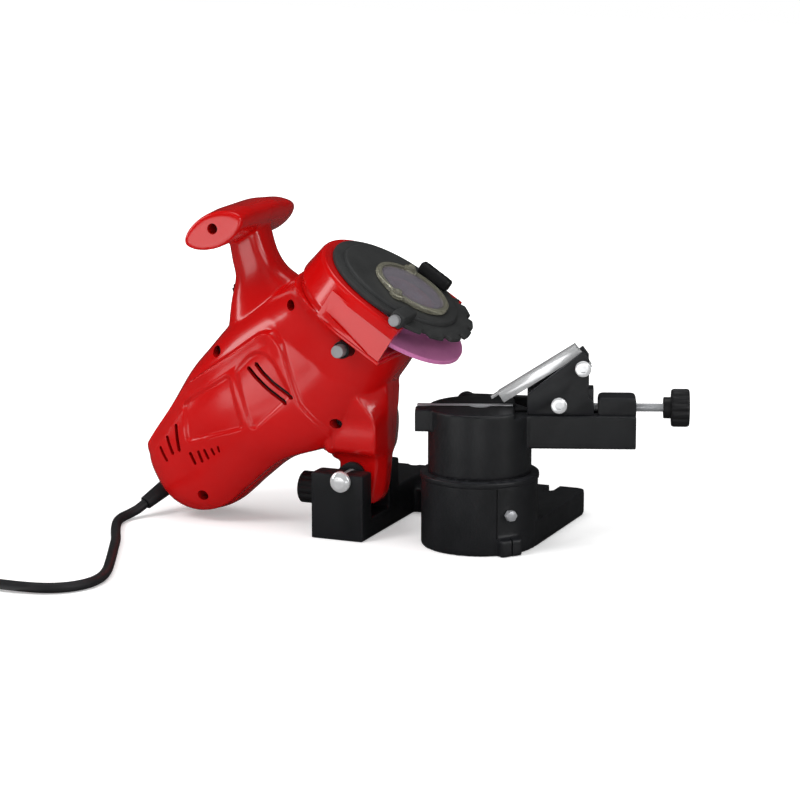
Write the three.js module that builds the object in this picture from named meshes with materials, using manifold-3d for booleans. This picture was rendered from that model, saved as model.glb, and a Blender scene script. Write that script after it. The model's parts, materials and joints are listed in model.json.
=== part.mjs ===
// Electric chainsaw sharpener: a bench base with a swivelling chain vise, and a motor head hinged beside it
// that brings a thin grinding wheel down onto the chain.
// Millimetres, +Z up. The origin is on the base's underside, on the axis that the vise swivels about.
// +X runs from the head to the vise, -Y faces the person at the bench.
import * as THREE from "three";
import { mergeVertices } from "three/addons/utils/BufferGeometryUtils.js";
import Module from "manifold-3d";

const wasm = await Module();
wasm.setup();

// Driving dimensions
const clearance = 0.3; // gap between neighbouring pieces
const overrun = 1; // how far a cutter runs past the face that it cuts

const hinge = { offset: 91, height: 43, boltRadius: 5, headRadius: 7.5, headHeight: 5 };

const base = {
  cupRadius: 41,
  cupHeight: 52,
  cupWall: 5,
  cupFloor: 7,
  rimStep: 0.8,
  rimHeight: 4,
  back: 112, // from the swivel axis to the rear edge
  barDepth: 50,
  flangeHeight: 18,
  armHeight: 27.5,
  slotWidth: 9,
  slotDepth: 14,
  slotInset: 25, // slot's middle line from the flange's side
  lugWidth: 17,
  lugHeight: 12,
  lugReach: 5,
  lugAngle: 51, // degrees round from the front
  splitWidth: 1.2,
  sides: 36,
};

const lockScrew = { height: 28.8, radius: 2.5, headRadius: 4 };

const block = {
  behind: 23.5, // the block's left face from the hinge axis
  ahead: 16,
  height: 48,
  gapHalf: 16.3,
  earThickness: 17.3,
  webHeight: 14,
  wallThickness: 8.5,
  wallHeight: 40,
};

const depthStop = {
  height: 28.5,
  setback: 2,
  screwRadius: 3,
  knobRadius: 11.7,
  knobLength: 17,
  headShare: 0.8, // the knob's gripped head, as a share of its length
  hubShare: 0.7,
  ridges: 12,
  travel: 5,
  standShare: 0.7, // how far out the knob stands at rest, as a share of the travel
};

const vise = {
  swivel: 20.3, // degrees from +X towards +Y at rest
  drumInset: 4.7, // the drum's side from the cup's
  spigotDepth: 22,
  wall: 5.6,
  deckTop: 94.5,
  armHeight: 23.5,
  armLength: 108.6,
  armHalf: 15,
  railStart: -45,
  railEnd: 24,
  railTop: 98.5,
  railBottom: 82.5,
  channelFloor: 88,
  jawGap: 3, // chain slot with the clamp released
  jawFront: -1.2,
  jawThickness: 5,
  channelPlay: 2, // room behind the rear jaw
  bossRadius: 10,
  pivotRadius: 4,
  pivotHead: 6.5,
  pivotHeadHeight: 5.5,
  blockStart: 82,
  blockTop: 106.7,
  blockHalf: 10,
};

const clamp = {
  along: -10,
  height: 92.5,
  screwRadius: 2.6,
  bossRadius: 7.2,
  leverReach: 46,
  leverWidth: 9,
  leverThickness: 6,
};

const carrier = {
  start: 33,
  end: 79,
  top: 139.4,
  plateInner: 7,
  plateThickness: 5,
  blockStart: 62,
  blockTop: 112,
  tongueHalf: 3,
  tongueDepth: 6,
  heelHeight: 10.2, // the outline's steps above the deck
  heelTop: 12.6,
  shoulderDrop: 3.3,
  upperBolt: [71.4, 127.8],
  lowerBolt: [55, 101.8],
  boltRadius: 3,
  boltHeadRadius: 5.6,
  boltHeadHeight: 3.4,
};

const adjuster = {
  height: 98,
  radius: 3,
  start: 70,
  hubRadius: 7.5,
  hubGap: 18.9, // from the arm's end to the knob's hub, with the carrier midway
  hubLength: 5.5,
  knobRadius: 13.5,
  knobLength: 12.6,
  ridges: 12,
};

const stopPlate = { length: 60, width: 12, thickness: 1.6, flange: 6, slope: 32.6, lift: 13.7 };

const wheel = { radius: 54, thickness: 3.2, boreRadius: 11.15 };

const spindle = {
  fromHinge: [26.9, 115], // the wheel's centre from the hinge axis, along X and Z
  tilt: 33, // degrees that the wheel's plane leans towards the vise
  shaftRadius: 5,
  flangeRadius: 19,
  innerFlange: 4,
  outerFlange: 3,
  nutRadius: 9.6,
  nutHeight: 5.5,
  tip: 12,
};

const drum = {
  shift: 8, // the drum's middle line from the wheel's axis, away from the vise
  radius: 64,
  wall: 3.5,
  back: 11, // back face behind the wheel's middle plane
  backThickness: 3,
  shoulder: 4,
  top: 16,
  mouthRadius: 50.5,
  sideEnd: 22, // the straight sides end here, past the wheel's axis
  passageRadius: 11.4,
  turns: 18,
};

const cover = {
  radius: 53,
  toothRadius: 59.5,
  thickness: 3.2,
  stepRadius: 46,
  stepHeight: 2.6,
  toothCount: 6,
  toothSpan: 120, // degrees that the teeth take up
  toothShare: 0.55, // a tooth's width as a share of its step
  steps: 54,
};
const windowPane = {
  radius: 25,
  rim: 3.8,
  rimHeight: 3,
  thickness: 1.5,
  ledge: 2.5,
  earRadius: 5,
  studRadius: 3,
  studHeight: 6,
  earAngles: [-90, 120], // degrees round from the open side
};
const gripBlock = { length: 26, width: 8, height: 9, offset: 34 };
const guardPin = { radius: 3, headRadius: 5, length: 16, headHeight: 4, lugHalf: 5 };

const gears = {
  centreDistance: 36,
  wheelTeeth: 26,
  pinionTeeth: 22,
  start: 21, // behind the wheel's middle plane
  width: 8,
  toothShare: 0.2, // half the tooth's thickness at the pitch circle, as a share of the pitch
  pressureAngle: 20,
  tipShare: 0.8, // how far the teeth rise and sink from the pitch circle, as shares of the module
  rootShare: 1.15,
};

const bearing = { radius: 11, width: 7, throatRadius: 8.8 };

const motor = {
  shaftRadius: 4,
  fanStart: 47,
  fanWidth: 8,
  fanRadius: 26,
  fanBlades: 9,
  stackStart: 78,
  stackLength: 44,
  statorRadius: 30,
  statorBore: 18,
  armatureRadius: 17.2,
  windingRadius: 14.1,
  coilReach: 8,
  commutatorStart: 136,
  commutatorLength: 14,
  commutatorRadius: 11,
  rearBearing: 158,
  brushLength: 16,
  brushWidth: 9,
};

const housing = {
  span: 100, // length that the outline's shares are multiplied by
  wall: 3,
  squareness: 2.5, // exponent of the rounded sections
  sectionSides: 16,
  ribThickness: 4,
  gripLength: 98,
  gripChord: 24,
  gripThickness: 11,
  gripTilt: 25,
  screwHead: 3.6,
  screwShank: 1.8,
  screwSeat: 14, // the screw heads' seats from the parting plane
  screwGrip: 13,
  bossWall: 3,
  gripSeat: 29.4,
  gearBack: 20,
  plateStart: 33,
  noseDepth: 46, // half the barrel's depth as it nears the drum, and where it meets it
  noseInnerDepth: 44.8,
  noseEndDepth: 57.6,
};

const bushing = { radius: 7, flangeRadius: 9.8, flange: 3.5, length: 12 };

const lockButton = {
  radius: 4.5,
  sleeveRadius: 6.2,
  sleeveStart: 40, // all measured from the parting plane
  sleeveEnd: 54,
  end: 60.5,
  tip: 26,
  travel: 4,
  behind: 24,
  along: -6,
};

const powerSwitch = {
  height: 24,
  width: 13,
  depth: 20,
  rockerHeight: 19,
  rockerWidth: 9,
  rockerProud: 3,
  rockerDip: 1.2, // how far the middle of the rocker stands proud
};

const cordSize = { radius: 3.5, reliefLength: 27, reliefStart: 6.5, reliefEnd: 5 };

const coil = {
  centre: [-328, -292.75],
  meanRadius: 41,
  pitch: 8.6,
  layerTurns: 2.5,
  lift: 1.3, // the tie's thickness and its gap hold the coil this far off the bench
  stepsPerTurn: 24,
  sides: 6,
  tail: 30, // from the outermost turn to the plug's neck
  tailShares: [0.3, 0.65, 1],
};

const plug = {
  length: 40,
  width: 26,
  height: 17,
  neckRadius: 5.25,
  neckLength: 10,
  pinRadius: 2,
  pinLength: 18,
  pinSpacing: 19,
};

// Points that the free stretch of the cord follows, from the strain relief to the coil.
const cordRoute = [
  [-251.4, -23.7, 9.6],
  [-254.6, -29.6, 6.2],
  [-257.6, -36.6, 4.2],
  [-258.9, -45, 3.5],
  [-256.6, -56.5, 3.5],
  [-251.2, -69.5, 3.5],
  [-243.4, -85, 3.5],
  [-234, -102.5, 3.5],
  [-225.4, -121.5, 3.5],
  [-216.4, -141.5, 3.5],
  [-207.6, -161.5, 3.5],
  [-200, -180, 3.5],
  [-195.4, -197.5, 3.5],
  [-196.2, -213.5, 3.5],
  [-203.2, -227, 3.6],
  [-215, -236.2, 3.9],
  [-231, -240.8, 4.3],
  [-250, -242, 4.6],
  [-273, -241.5, 4.8],
  [-300, -241, 4.8],
];

// Where each housing screw stands from the hinge axis, as shares of the housing's span.
const screwShares = {
  drum: [-0.36, 1.24],
  neck: [-1.0, 0.84],
  tail: [-1.1, -0.21],
  foot: [-0.08, 0.39],
  grip: [-0.91, 1.76],
};

// The barrel's sections: the upper left end, the lower right end, and the half depth.
const barrelShares = [
  [-1.605, 0.01, -1.49, -0.23, 0.13],
  [-1.59, 0.12, -1.33, -0.34, 0.25],
  [-1.53, 0.26, -1.15, -0.37, 0.31],
  [-1.41, 0.45, -0.96, -0.305, 0.34],
  [-1.27, 0.675, -0.75, -0.12, 0.36],
  [-1.13, 0.84, -0.51, 0.065, 0.37],
  [-0.94, 1.05, -0.12, 0.22, 0.37],
  [-0.69, 1.22, 0.17, 0.56, 0.39],
];

const neckShares = [
  [-0.99, 0.97, -0.39, 1.22, 0.22],
  [-0.975, 1.17, -0.475, 1.356, 0.17],
  [-0.94, 1.35, -0.59, 1.44, 0.15],
  [-0.96, 1.47, -0.67, 1.56, 0.15],
  [-0.99, 1.67, -0.73, 1.75, 0.16],
];

// The foot's half depths are shares of the room that it has between the hinge's bushes.
const footShares = [
  [-0.07, -0.21, 0.14, -0.21, 1],
  [-0.09, -0.13, 0.19, -0.13, 1],
  [-0.12, 0.03, 0.21, 0.03, 1],
  [-0.22, 0.12, 0.21, 0.12, 1.03],
  [-0.35, 0.2, 0.21, 0.2, 1.56],
  [-0.39, 0.37, 0.21, 0.37, 2.46],
  [-0.34, 0.62, 0.2, 0.62, 2.87],
];

// Where the grip's sections stand along its length, and how much of the full section each has.
const gripShares = [
  [-0.5, 0.78],
  [-0.47, 0.94],
  [-0.36, 1],
  [0.36, 1],
  [0.47, 0.94],
  [0.5, 0.78],
];

const ventShares = {
  side: { from: [-0.7, 0.765], to: [-0.405, 0.535], step: [0.055, 0.04], width: 0.028, count: 2 },
  tail: { from: [-1.433, 0.125], to: [-1.375, 0.02], step: [0.07, 0.09], width: 0.028, count: 3 },
};

// Materials
const material = (color, roughness, metalness) =>
  new THREE.MeshStandardMaterial({ color, roughness, metalness });
const redPlastic = material(0xc81410, 0.3, 0);
const blackCasting = material(0x202225, 0.55, 0.3);
const blackPlastic = material(0x18191a, 0.5, 0);
const chrome = material(0xd0d2d4, 0.2, 1);
const steel = material(0x9a9da0, 0.4, 1);
const abrasive = material(0xa5559a, 0.9, 0);
const clearPlastic = material(0x9a9488, 0.15, 0);
const copper = material(0xb06a3a, 0.4, 1);
const brass = material(0xb89a50, 0.35, 1);
const cordRubber = material(0x141414, 0.6, 0);

// Solids from three.js geometries, faces turned outwards.
function solid(geometry) {
  const bare = geometry.index ? geometry.toNonIndexed() : geometry.clone();
  bare.deleteAttribute("normal");
  bare.deleteAttribute("uv");
  const merged = mergeVertices(bare);
  const at = merged.attributes.position;
  const triVerts = new Uint32Array(merged.index.array);
  const corner = (i) => new THREE.Vector3().fromBufferAttribute(at, triVerts[i]);
  let volume = 0;
  for (let i = 0; i < triVerts.length; i += 3) volume += corner(i).dot(corner(i + 1).cross(corner(i + 2)));
  if (volume < 0) {
    for (let i = 0; i < triVerts.length; i += 3) {
      [triVerts[i + 1], triVerts[i + 2]] = [triVerts[i + 2], triVerts[i + 1]];
    }
  }
  const vertProperties = new Float32Array(at.array);
  return new wasm.Manifold(new wasm.Mesh({ numProp: 3, vertProperties, triVerts }));
}

function box(x0, x1, y0, y1, z0, z1) {
  const geometry = new THREE.BoxGeometry(x1 - x0, y1 - y0, z1 - z0);
  return solid(geometry.translate((x0 + x1) / 2, (y0 + y1) / 2, (z0 + z1) / 2));
}

// A round bar along Z; a second radius makes it taper.
function bar(radius, z0, z1, sides = 24, endRadius = radius) {
  const geometry = new THREE.CylinderGeometry(endRadius, radius, z1 - z0, sides);
  return solid(geometry.rotateX(Math.PI / 2).translate(0, 0, (z0 + z1) / 2));
}

// A turned piece about Z from points (radius, height); a profile off the axis closes on itself.
function turned(profile, sides = 24) {
  const points = profile.map(([r, z]) => new THREE.Vector2(r, z));
  if (profile[0][0] > 0) points.push(points[0].clone());
  return solid(new THREE.LatheGeometry(points, sides).rotateX(Math.PI / 2));
}

// An outline in X and Y pushed up from z0 to z1.
function prism(points, z0, z1) {
  const shape = new THREE.Shape(points.map(([x, y]) => new THREE.Vector2(x, y)));
  return solid(new THREE.ExtrudeGeometry(shape, { depth: z1 - z0, bevelEnabled: false }).translate(0, 0, z0));
}

// An outline in X and Z pushed along Y from y0 to y1.
function sidePrism(points, y0, y1) {
  const shape = new THREE.Shape(points.map(([x, z]) => new THREE.Vector2(x, z)));
  const geometry = new THREE.ExtrudeGeometry(shape, { depth: y1 - y0, bevelEnabled: false });
  return solid(geometry.rotateX(Math.PI / 2).translate(0, y1, 0));
}

// A closed skin over rings of points, capped at both ends.
function loft(rings) {
  const count = rings[0].length;
  const vertices = rings.flat().flatMap((p) => [p.x, p.y, p.z]);
  const index = [];
  for (let ring = 0; ring < rings.length - 1; ring++) {
    for (let i = 0; i < count; i++) {
      const a = ring * count + i;
      const b = ring * count + ((i + 1) % count);
      index.push(a, b, b + count, a, b + count, a + count);
    }
  }
  const last = (rings.length - 1) * count;
  for (let i = 1; i < count - 1; i++) index.push(0, i + 1, i, last, last + i, last + i + 1);
  const geometry = new THREE.BufferGeometry();
  geometry.setAttribute("position", new THREE.Float32BufferAttribute(vertices, 3));
  return solid(geometry.setIndex(index));
}

const union = (...solids) => solids.reduce((a, b) => a.add(b));
const along = (axis, piece) => piece.rotate(axis === "x" ? [0, 90, 0] : [-90, 0, 0]);
const barX = (radius, x0, x1, y, z, sides) => along("x", bar(radius, x0, x1, sides)).translate([0, y, z]);
const barY = (radius, y0, y1, x, z, sides) => along("y", bar(radius, y0, y1, sides)).translate([x, 0, z]);
const turnAbout = (piece, degrees) => piece.rotate([0, 0, degrees]);
const toLug = (piece) => turnAbout(piece, base.lugAngle - 90);

function mesh(name, piece, finish) {
  const data = piece.getMesh();
  const geometry = new THREE.BufferGeometry();
  geometry.setAttribute("position", new THREE.BufferAttribute(data.vertProperties, 3));
  geometry.setIndex(new THREE.BufferAttribute(data.triVerts, 1));
  geometry.computeVertexNormals();
  const made = new THREE.Mesh(geometry, finish);
  made.name = name;
  return made;
}

function gripped(radius, length, ridges, depth) {
  const points = [];
  for (let i = 0; i < ridges * 4; i++) {
    const r = i % 4 < 2 ? radius : radius - depth;
    const angle = (i / (ridges * 4)) * 2 * Math.PI;
    points.push([r * Math.cos(angle), r * Math.sin(angle)]);
  }
  return prism(points, 0, length);
}

// Places that several pieces share
const hingeX = -hinge.offset;
const blockLeft = hingeX - block.behind;
const blockRight = hingeX + block.ahead;
const blockHalf = block.gapHalf + block.earThickness;
const cupBore = base.cupRadius - base.cupWall;
const drumRadius = base.cupRadius - vise.drumInset;
const drumSeat = base.cupHeight + clearance;
const armBottom = vise.deckTop - vise.armHeight;
const rodFit = adjuster.radius + clearance;
const channelBack = vise.jawFront + vise.jawGap + vise.jawThickness + vise.channelPlay;
const pivotSeat = vise.channelFloor - vise.pivotHeadHeight - 2 * clearance;
const pivotBossTop = base.cupHeight - vise.spigotDepth + 8 * clearance;
const pivotTip = base.cupFloor + overrun;
const plateEndDepth = housing.plateStart + bearing.width;
const wheelHalf = wheel.thickness / 2;
const coverBottom = drum.top + clearance;
const coverTop = coverBottom + cover.thickness + cover.stepHeight;
const headPoint = (sx, sz) => [hingeX + sx * housing.span, hinge.height + sz * housing.span];

const spindleFrame = new THREE.Matrix4().makeRotationY(THREE.MathUtils.degToRad(spindle.tilt));
spindleFrame.setPosition(hingeX + spindle.fromHinge[0], 0, hinge.height + spindle.fromHinge[1]);
const inSpindle = (piece) => piece.transform(spindleFrame.elements);
const spindlePoint = (across, behind) => {
  const p = new THREE.Vector3(across, 0, -behind).applyMatrix4(spindleFrame);
  return [p.x, p.z];
};
// Motor pieces stand on an axis parallel to the wheel's, with Z running backwards along it.
const onMotor = (piece) => piece.rotate([180, 0, 0]).translate([-gears.centreDistance, 0, 0]);
const onSpindle = (piece) => piece.rotate([180, 0, 0]);

function baseCasting() {
  const halfBar = base.slotWidth / 2;
  const barFront = base.back - base.barDepth;
  const flange = union(
    box(blockLeft, base.cupRadius, barFront, base.back, 0, base.flangeHeight),
    box(-base.cupRadius, base.cupRadius, 0, base.back, 0, base.flangeHeight),
    box(blockLeft, blockRight, block.gapHalf, base.back - base.slotDepth, 0, base.armHeight),
  );
  const ears = [-1, 1].map((side) => {
    const inner = side * block.gapHalf;
    const outer = side * blockHalf;
    return box(blockLeft, blockRight, Math.min(inner, outer), Math.max(inner, outer), 0, block.height);
  });
  const web = box(blockLeft, blockRight, -blockHalf, blockHalf, 0, block.webHeight);
  const wall = box(blockLeft, blockLeft + block.wallThickness, -blockHalf, blockHalf, 0, block.wallHeight);
  const cup = turned(
    [
      [0, 0],
      [base.cupRadius, 0],
      [base.cupRadius, base.cupHeight - base.rimHeight],
      [base.cupRadius + base.rimStep, base.cupHeight - base.rimHeight],
      [base.cupRadius + base.rimStep, base.cupHeight],
      [0, base.cupHeight],
    ],
    base.sides,
  );
  const bore = bar(cupBore, base.cupFloor, base.cupHeight + overrun, base.sides);
  const boss = bar(vise.bossRadius, 0, pivotBossTop, 16);
  const reach = base.cupRadius + base.lugReach;
  const halfLug = base.lugWidth / 2;
  const halfSplit = base.splitWidth / 2;
  const lug = box(cupBore + base.cupWall / 2, reach, -halfLug, halfLug, 0, base.lugHeight);
  const splitStart = base.cupRadius + base.lugReach / 4;
  const split = box(splitStart, reach + overrun, -halfSplit, halfSplit, -overrun, base.lugHeight + overrun);
  const seamTurn = base.lugAngle - 90 - THREE.MathUtils.radToDeg(base.lugWidth / 2 / base.cupRadius);
  const rimUnder = base.cupHeight - base.rimHeight;
  const seam = turnAbout(
    box(base.cupRadius - base.rimStep, reach, -base.rimStep, 0, base.lugHeight, rimUnder),
    seamTurn,
  );
  const slots = [base.cupRadius - base.slotInset, blockLeft + base.slotInset].map((x) =>
    box(x - halfBar, x + halfBar, base.back - base.slotDepth, base.back + overrun, -overrun, block.height),
  );
  return union(flange, ...ears, web, wall, cup.subtract(bore), boss, toLug(lug))
    .subtract(toLug(split))
    .subtract(seam)
    .subtract(slots[0])
    .subtract(slots[1])
    .subtract(bar(vise.pivotRadius + clearance, pivotTip - clearance, pivotBossTop + overrun, 12))
    .subtract(
      barY(hinge.boltRadius + clearance, -blockHalf - overrun, blockHalf + overrun, hingeX, hinge.height, 20),
    )
    .subtract(
      barX(
        depthStop.screwRadius + clearance,
        blockLeft - overrun,
        blockLeft + block.wallThickness + overrun,
        -depthStop.setback,
        depthStop.height,
      ),
    )
    .subtract(lockScrewHole());
}

function lockScrewHole() {
  const end = base.cupRadius + base.lugReach;
  return toLug(barX(lockScrew.radius + clearance, cupBore - overrun, end, 0, lockScrew.height, 16));
}

function baseMeshes() {
  const headY = -blockHalf - clearance;
  const bolt = union(
    barY(hinge.headRadius, headY - hinge.headHeight, headY, hingeX, hinge.height, 24),
    barY(hinge.boltRadius, headY, blockHalf + hinge.headHeight * 2, hingeX, hinge.height, 20),
  );
  const nutBlank = barY(hinge.headRadius, -headY, -headY + hinge.headHeight, hingeX, hinge.height, 6);
  const nut = nutBlank.subtract(barY(hinge.boltRadius + clearance, 0, blockHalf * 2, hingeX, hinge.height, 20));
  const pivot = union(
    bar(vise.pivotRadius, pivotTip, pivotSeat + overrun, 12),
    bar(vise.pivotHead, pivotSeat, pivotSeat + vise.pivotHeadHeight, 6),
  );
  return [
    mesh("base_casting", baseCasting(), blackCasting),
    mesh("hinge_bolt", bolt, chrome),
    mesh("hinge_nut", nut, chrome),
    mesh("pivot_bolt", pivot, steel),
  ];
}

function lockScrewMesh() {
  const inner = cupBore + clearance;
  const outer = base.cupRadius + base.lugReach;
  const screw = barX(lockScrew.radius, inner, outer - overrun, 0, lockScrew.height, 16).add(
    barX(lockScrew.headRadius, base.cupRadius + clearance * 2, outer, 0, lockScrew.height, 6),
  );
  return mesh("swivel_lock_screw", toLug(screw), steel);
}

function depthStopMeshes() {
  const tip = blockLeft + block.wallThickness + clearance;
  const knobRight = blockLeft - depthStop.travel * depthStop.standShare;
  const knobLeft = knobRight - depthStop.knobLength;
  const seat = -depthStop.setback;
  const middle = knobLeft + depthStop.knobLength / 2;
  const screw = barX(depthStop.screwRadius, middle, tip, seat, depthStop.height, 16);
  const ridgeDepth = depthStop.knobRadius / depthStop.ridges;
  const headLength = depthStop.knobLength * depthStop.headShare;
  const hubRadius = depthStop.knobRadius * depthStop.hubShare;
  const knob = along("x", gripped(depthStop.knobRadius, headLength, depthStop.ridges, ridgeDepth))
    .translate([knobLeft, seat, depthStop.height])
    .add(barX(hubRadius, knobLeft + overrun, knobRight, seat, depthStop.height))
    .subtract(
      barX(
        depthStop.screwRadius + clearance,
        middle - clearance,
        knobRight + overrun,
        seat,
        depthStop.height,
      ),
    );
  return [mesh("depth_screw", screw, steel), mesh("depth_knob", knob, blackPlastic)];
}

// Vise pieces, in a frame whose X runs along the chain rail
function viseBody() {
  const drumBody = bar(drumRadius, drumSeat, vise.railTop, base.sides).subtract(
    box(vise.railEnd, drumRadius * 2, -drumRadius, drumRadius, vise.deckTop, vise.railTop + overrun),
  );
  const spigot = bar(cupBore - clearance, base.cupHeight - vise.spigotDepth, drumSeat + overrun, base.sides);
  const hollow = bar(cupBore - vise.wall, 0, vise.railBottom - vise.wall / 2, 24);
  const boss = bar(vise.bossRadius, pivotBossTop + clearance, vise.channelFloor, 16);
  const arm = box(0, vise.armLength, -vise.armHalf, vise.armHalf, armBottom, vise.deckTop);
  const rail = union(
    box(vise.railStart, vise.railEnd, -vise.armHalf, vise.jawFront, vise.railBottom, vise.railTop),
    box(vise.railStart, vise.railEnd, -vise.armHalf, vise.armHalf, vise.railBottom, vise.channelFloor),
    box(vise.railStart, vise.railEnd, channelBack, vise.armHalf, vise.railBottom, vise.deckTop),
  );
  const channel = box(
    vise.railStart - overrun,
    vise.railEnd,
    vise.jawFront,
    channelBack,
    vise.channelFloor,
    vise.railTop + overrun,
  );
  const screwBlock = box(
    vise.blockStart,
    vise.armLength,
    -vise.blockHalf,
    vise.blockHalf,
    vise.deckTop - overrun,
    vise.blockTop,
  );
  const groove = box(
    vise.railEnd,
    vise.blockStart,
    -carrier.tongueHalf - clearance,
    carrier.tongueHalf + clearance,
    vise.deckTop - carrier.tongueDepth - clearance,
    vise.deckTop + overrun,
  );
  return union(drumBody, spigot, arm, rail)
    .subtract(hollow)
    .add(boss)
    .subtract(channel)
    .add(screwBlock)
    .subtract(groove)
    .subtract(bar(vise.pivotRadius + clearance, 0, vise.deckTop, 12))
    .subtract(bar(vise.pivotHead + clearance * 3, pivotSeat - clearance, vise.railTop, 16))
    .subtract(barX(rodFit, vise.blockStart - overrun, vise.armLength + overrun, 0, adjuster.height))
    .subtract(
      barY(clamp.screwRadius + clearance, vise.jawFront, drumRadius + overrun, clamp.along, clamp.height, 16),
    );
}

function clampMeshes() {
  const jawFace = vise.jawFront + vise.jawGap;
  const jaw = box(
    vise.railStart + overrun,
    vise.railEnd - overrun,
    jawFace,
    jawFace + vise.jawThickness,
    vise.channelFloor + clearance,
    vise.railTop,
  );
  const leverFace = drumRadius + 4 * clearance;
  const end = leverFace + clamp.leverThickness;
  const slim = clamp.leverWidth / 2;
  const lever = union(
    barY(clamp.bossRadius, leverFace, end, clamp.along, clamp.height, 16),
    box(clamp.along, clamp.along + clamp.leverReach, leverFace, end, clamp.height - slim, clamp.height + slim),
    barY(slim, leverFace, end + clamp.leverThickness, clamp.along + clamp.leverReach, clamp.height, 12),
    barY(clamp.screwRadius, jawFace + vise.jawThickness + clearance, end, clamp.along, clamp.height, 12),
  );
  return { jaw: mesh("rear_jaw", jaw, steel), lever: mesh("clamp_lever", lever, blackPlastic) };
}

function carrierMeshes() {
  const floor = vise.deckTop + clearance;
  const shoulder = carrier.blockTop - carrier.shoulderDrop;
  const outline = [
    [carrier.start, floor],
    [carrier.end, floor],
    [carrier.end, floor + carrier.heelHeight],
    [carrier.end - carrier.boltHeadHeight, floor + carrier.heelTop],
    [carrier.end - carrier.boltHeadHeight, carrier.top - carrier.boltHeadRadius],
    [carrier.upperBolt[0], carrier.top],
    [carrier.start, shoulder],
  ];
  const inner = carrier.plateInner;
  const outer = inner + carrier.plateThickness;
  const boltFit = carrier.boltRadius + clearance;
  const boltHole = ([u, z]) => barY(boltFit, -outer - overrun, outer + overrun, u, z, 16);
  const front = sidePrism(outline, -outer, -inner)
    .subtract(boltHole(carrier.upperBolt))
    .subtract(boltHole(carrier.lowerBolt));
  const blockFront = -inner + clearance;
  const nutBlock = box(carrier.blockStart, carrier.end, blockFront, inner + overrun, floor, carrier.blockTop);
  const tongue = box(
    carrier.blockStart,
    carrier.end,
    -carrier.tongueHalf,
    carrier.tongueHalf,
    vise.deckTop - carrier.tongueDepth,
    floor + overrun,
  );
  const rear = union(sidePrism(outline, inner, outer), nutBlock, tongue)
    .subtract(boltHole(carrier.upperBolt))
    .subtract(boltHole(carrier.lowerBolt))
    .subtract(barX(rodFit, adjuster.start - clearance, carrier.end + overrun, 0, adjuster.height, 24));
  const bolt = ([u, z]) =>
    union(
      barY(carrier.boltHeadRadius, -outer - clearance - carrier.boltHeadHeight, -outer - clearance, u, z, 24),
      barY(carrier.boltRadius, -outer - clearance, outer + carrier.boltHeadHeight, u, z, 16),
    );
  return [
    mesh("carrier_front_plate", front, blackCasting),
    mesh("carrier_body", rear, blackCasting),
    mesh("upper_bolt", bolt(carrier.upperBolt), chrome),
    mesh("lower_bolt", bolt(carrier.lowerBolt), chrome),
  ];
}

// The stop hangs on the upper bolt and rests on the chain: a folded plate with two side flanges.
function stopMesh() {
  const half = stopPlate.width / 2;
  const ridge = stopPlate.lift;
  const t = stopPlate.thickness;
  const channel = box(-stopPlate.length, t * 2, -half, half, ridge, ridge + t)
    .add(box(-stopPlate.length, t * 2, -half, -half + t, ridge - stopPlate.flange, ridge + t))
    .add(box(-stopPlate.length, t * 2, half - t, half, ridge - stopPlate.flange, ridge + t));
  const ears = [-1, 1].map((side) => {
    const y = side * (half - t / 2);
    const ear = [
      [-ridge, ridge],
      [-carrier.boltRadius * 1.8, -carrier.boltRadius],
      [0, -carrier.boltRadius * 2],
      [carrier.boltRadius * 1.8, -carrier.boltRadius],
      [t * 2, ridge],
    ];
    return sidePrism(ear, y - t / 2, y + t / 2);
  });
  const tongueTip = box(
    -stopPlate.length - stopPlate.flange,
    -stopPlate.length + overrun,
    -half / 2,
    half / 2,
    ridge,
    ridge + t,
  );
  const piece = union(channel, ...ears, tongueTip).subtract(
    barY(carrier.boltRadius + clearance, -half - overrun, half + overrun, 0, 0, 16),
  );
  const placed = piece.rotate([0, -stopPlate.slope, 0]);
  return mesh("stop_plate", placed.translate([carrier.upperBolt[0], 0, carrier.upperBolt[1]]), chrome);
}

function adjusterMeshes() {
  const hubStart = vise.armLength + adjuster.hubGap;
  const knobStart = hubStart + adjuster.hubLength;
  const rodEnd = knobStart + clearance;
  const rod = barX(adjuster.radius, adjuster.start, rodEnd + adjuster.radius, 0, adjuster.height, 16);
  const hub = barX(adjuster.hubRadius, hubStart, knobStart + overrun, 0, adjuster.height, 20);
  const ridgeDepth = adjuster.knobRadius / adjuster.ridges;
  const head = along("x", gripped(adjuster.knobRadius, adjuster.knobLength, adjuster.ridges, ridgeDepth));
  const knob = head
    .translate([knobStart, 0, adjuster.height])
    .add(hub)
    .subtract(
      barX(
        rodFit,
        hubStart - overrun,
        rodEnd + adjuster.radius + clearance,
        0,
        adjuster.height,
      ),
    );
  return [mesh("adjust_rod", rod, steel), mesh("adjust_knob", knob, blackPlastic)];
}

// A rounded section between two ends in the XZ plane, drawn in by inset.
function section([x0, z0, x1, z1, half], inset) {
  const middle = new THREE.Vector3((x0 + x1) / 2, 0, (z0 + z1) / 2);
  const reach = new THREE.Vector3((x1 - x0) / 2, 0, (z1 - z0) / 2);
  reach.setLength(Math.max(reach.length() - inset, overrun));
  const ring = [];
  for (let i = 0; i < housing.sectionSides; i++) {
    const angle = ((i + 0.5) / housing.sectionSides) * 2 * Math.PI;
    const c = Math.cos(angle);
    const s = Math.sin(angle);
    const power = 2 / housing.squareness;
    const across = Math.sign(c) * Math.abs(c) ** power;
    const deep = Math.sign(s) * Math.abs(s) ** power;
    const p = middle.clone().addScaledVector(reach, across);
    ring.push(p.setY(deep * Math.max(half - inset, overrun)));
  }
  return ring;
}

const fromShares = (shares, depth = housing.span) =>
  shares.map(([ax, az, bx, bz, half]) => [...headPoint(ax, az), ...headPoint(bx, bz), half * depth]);

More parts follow.
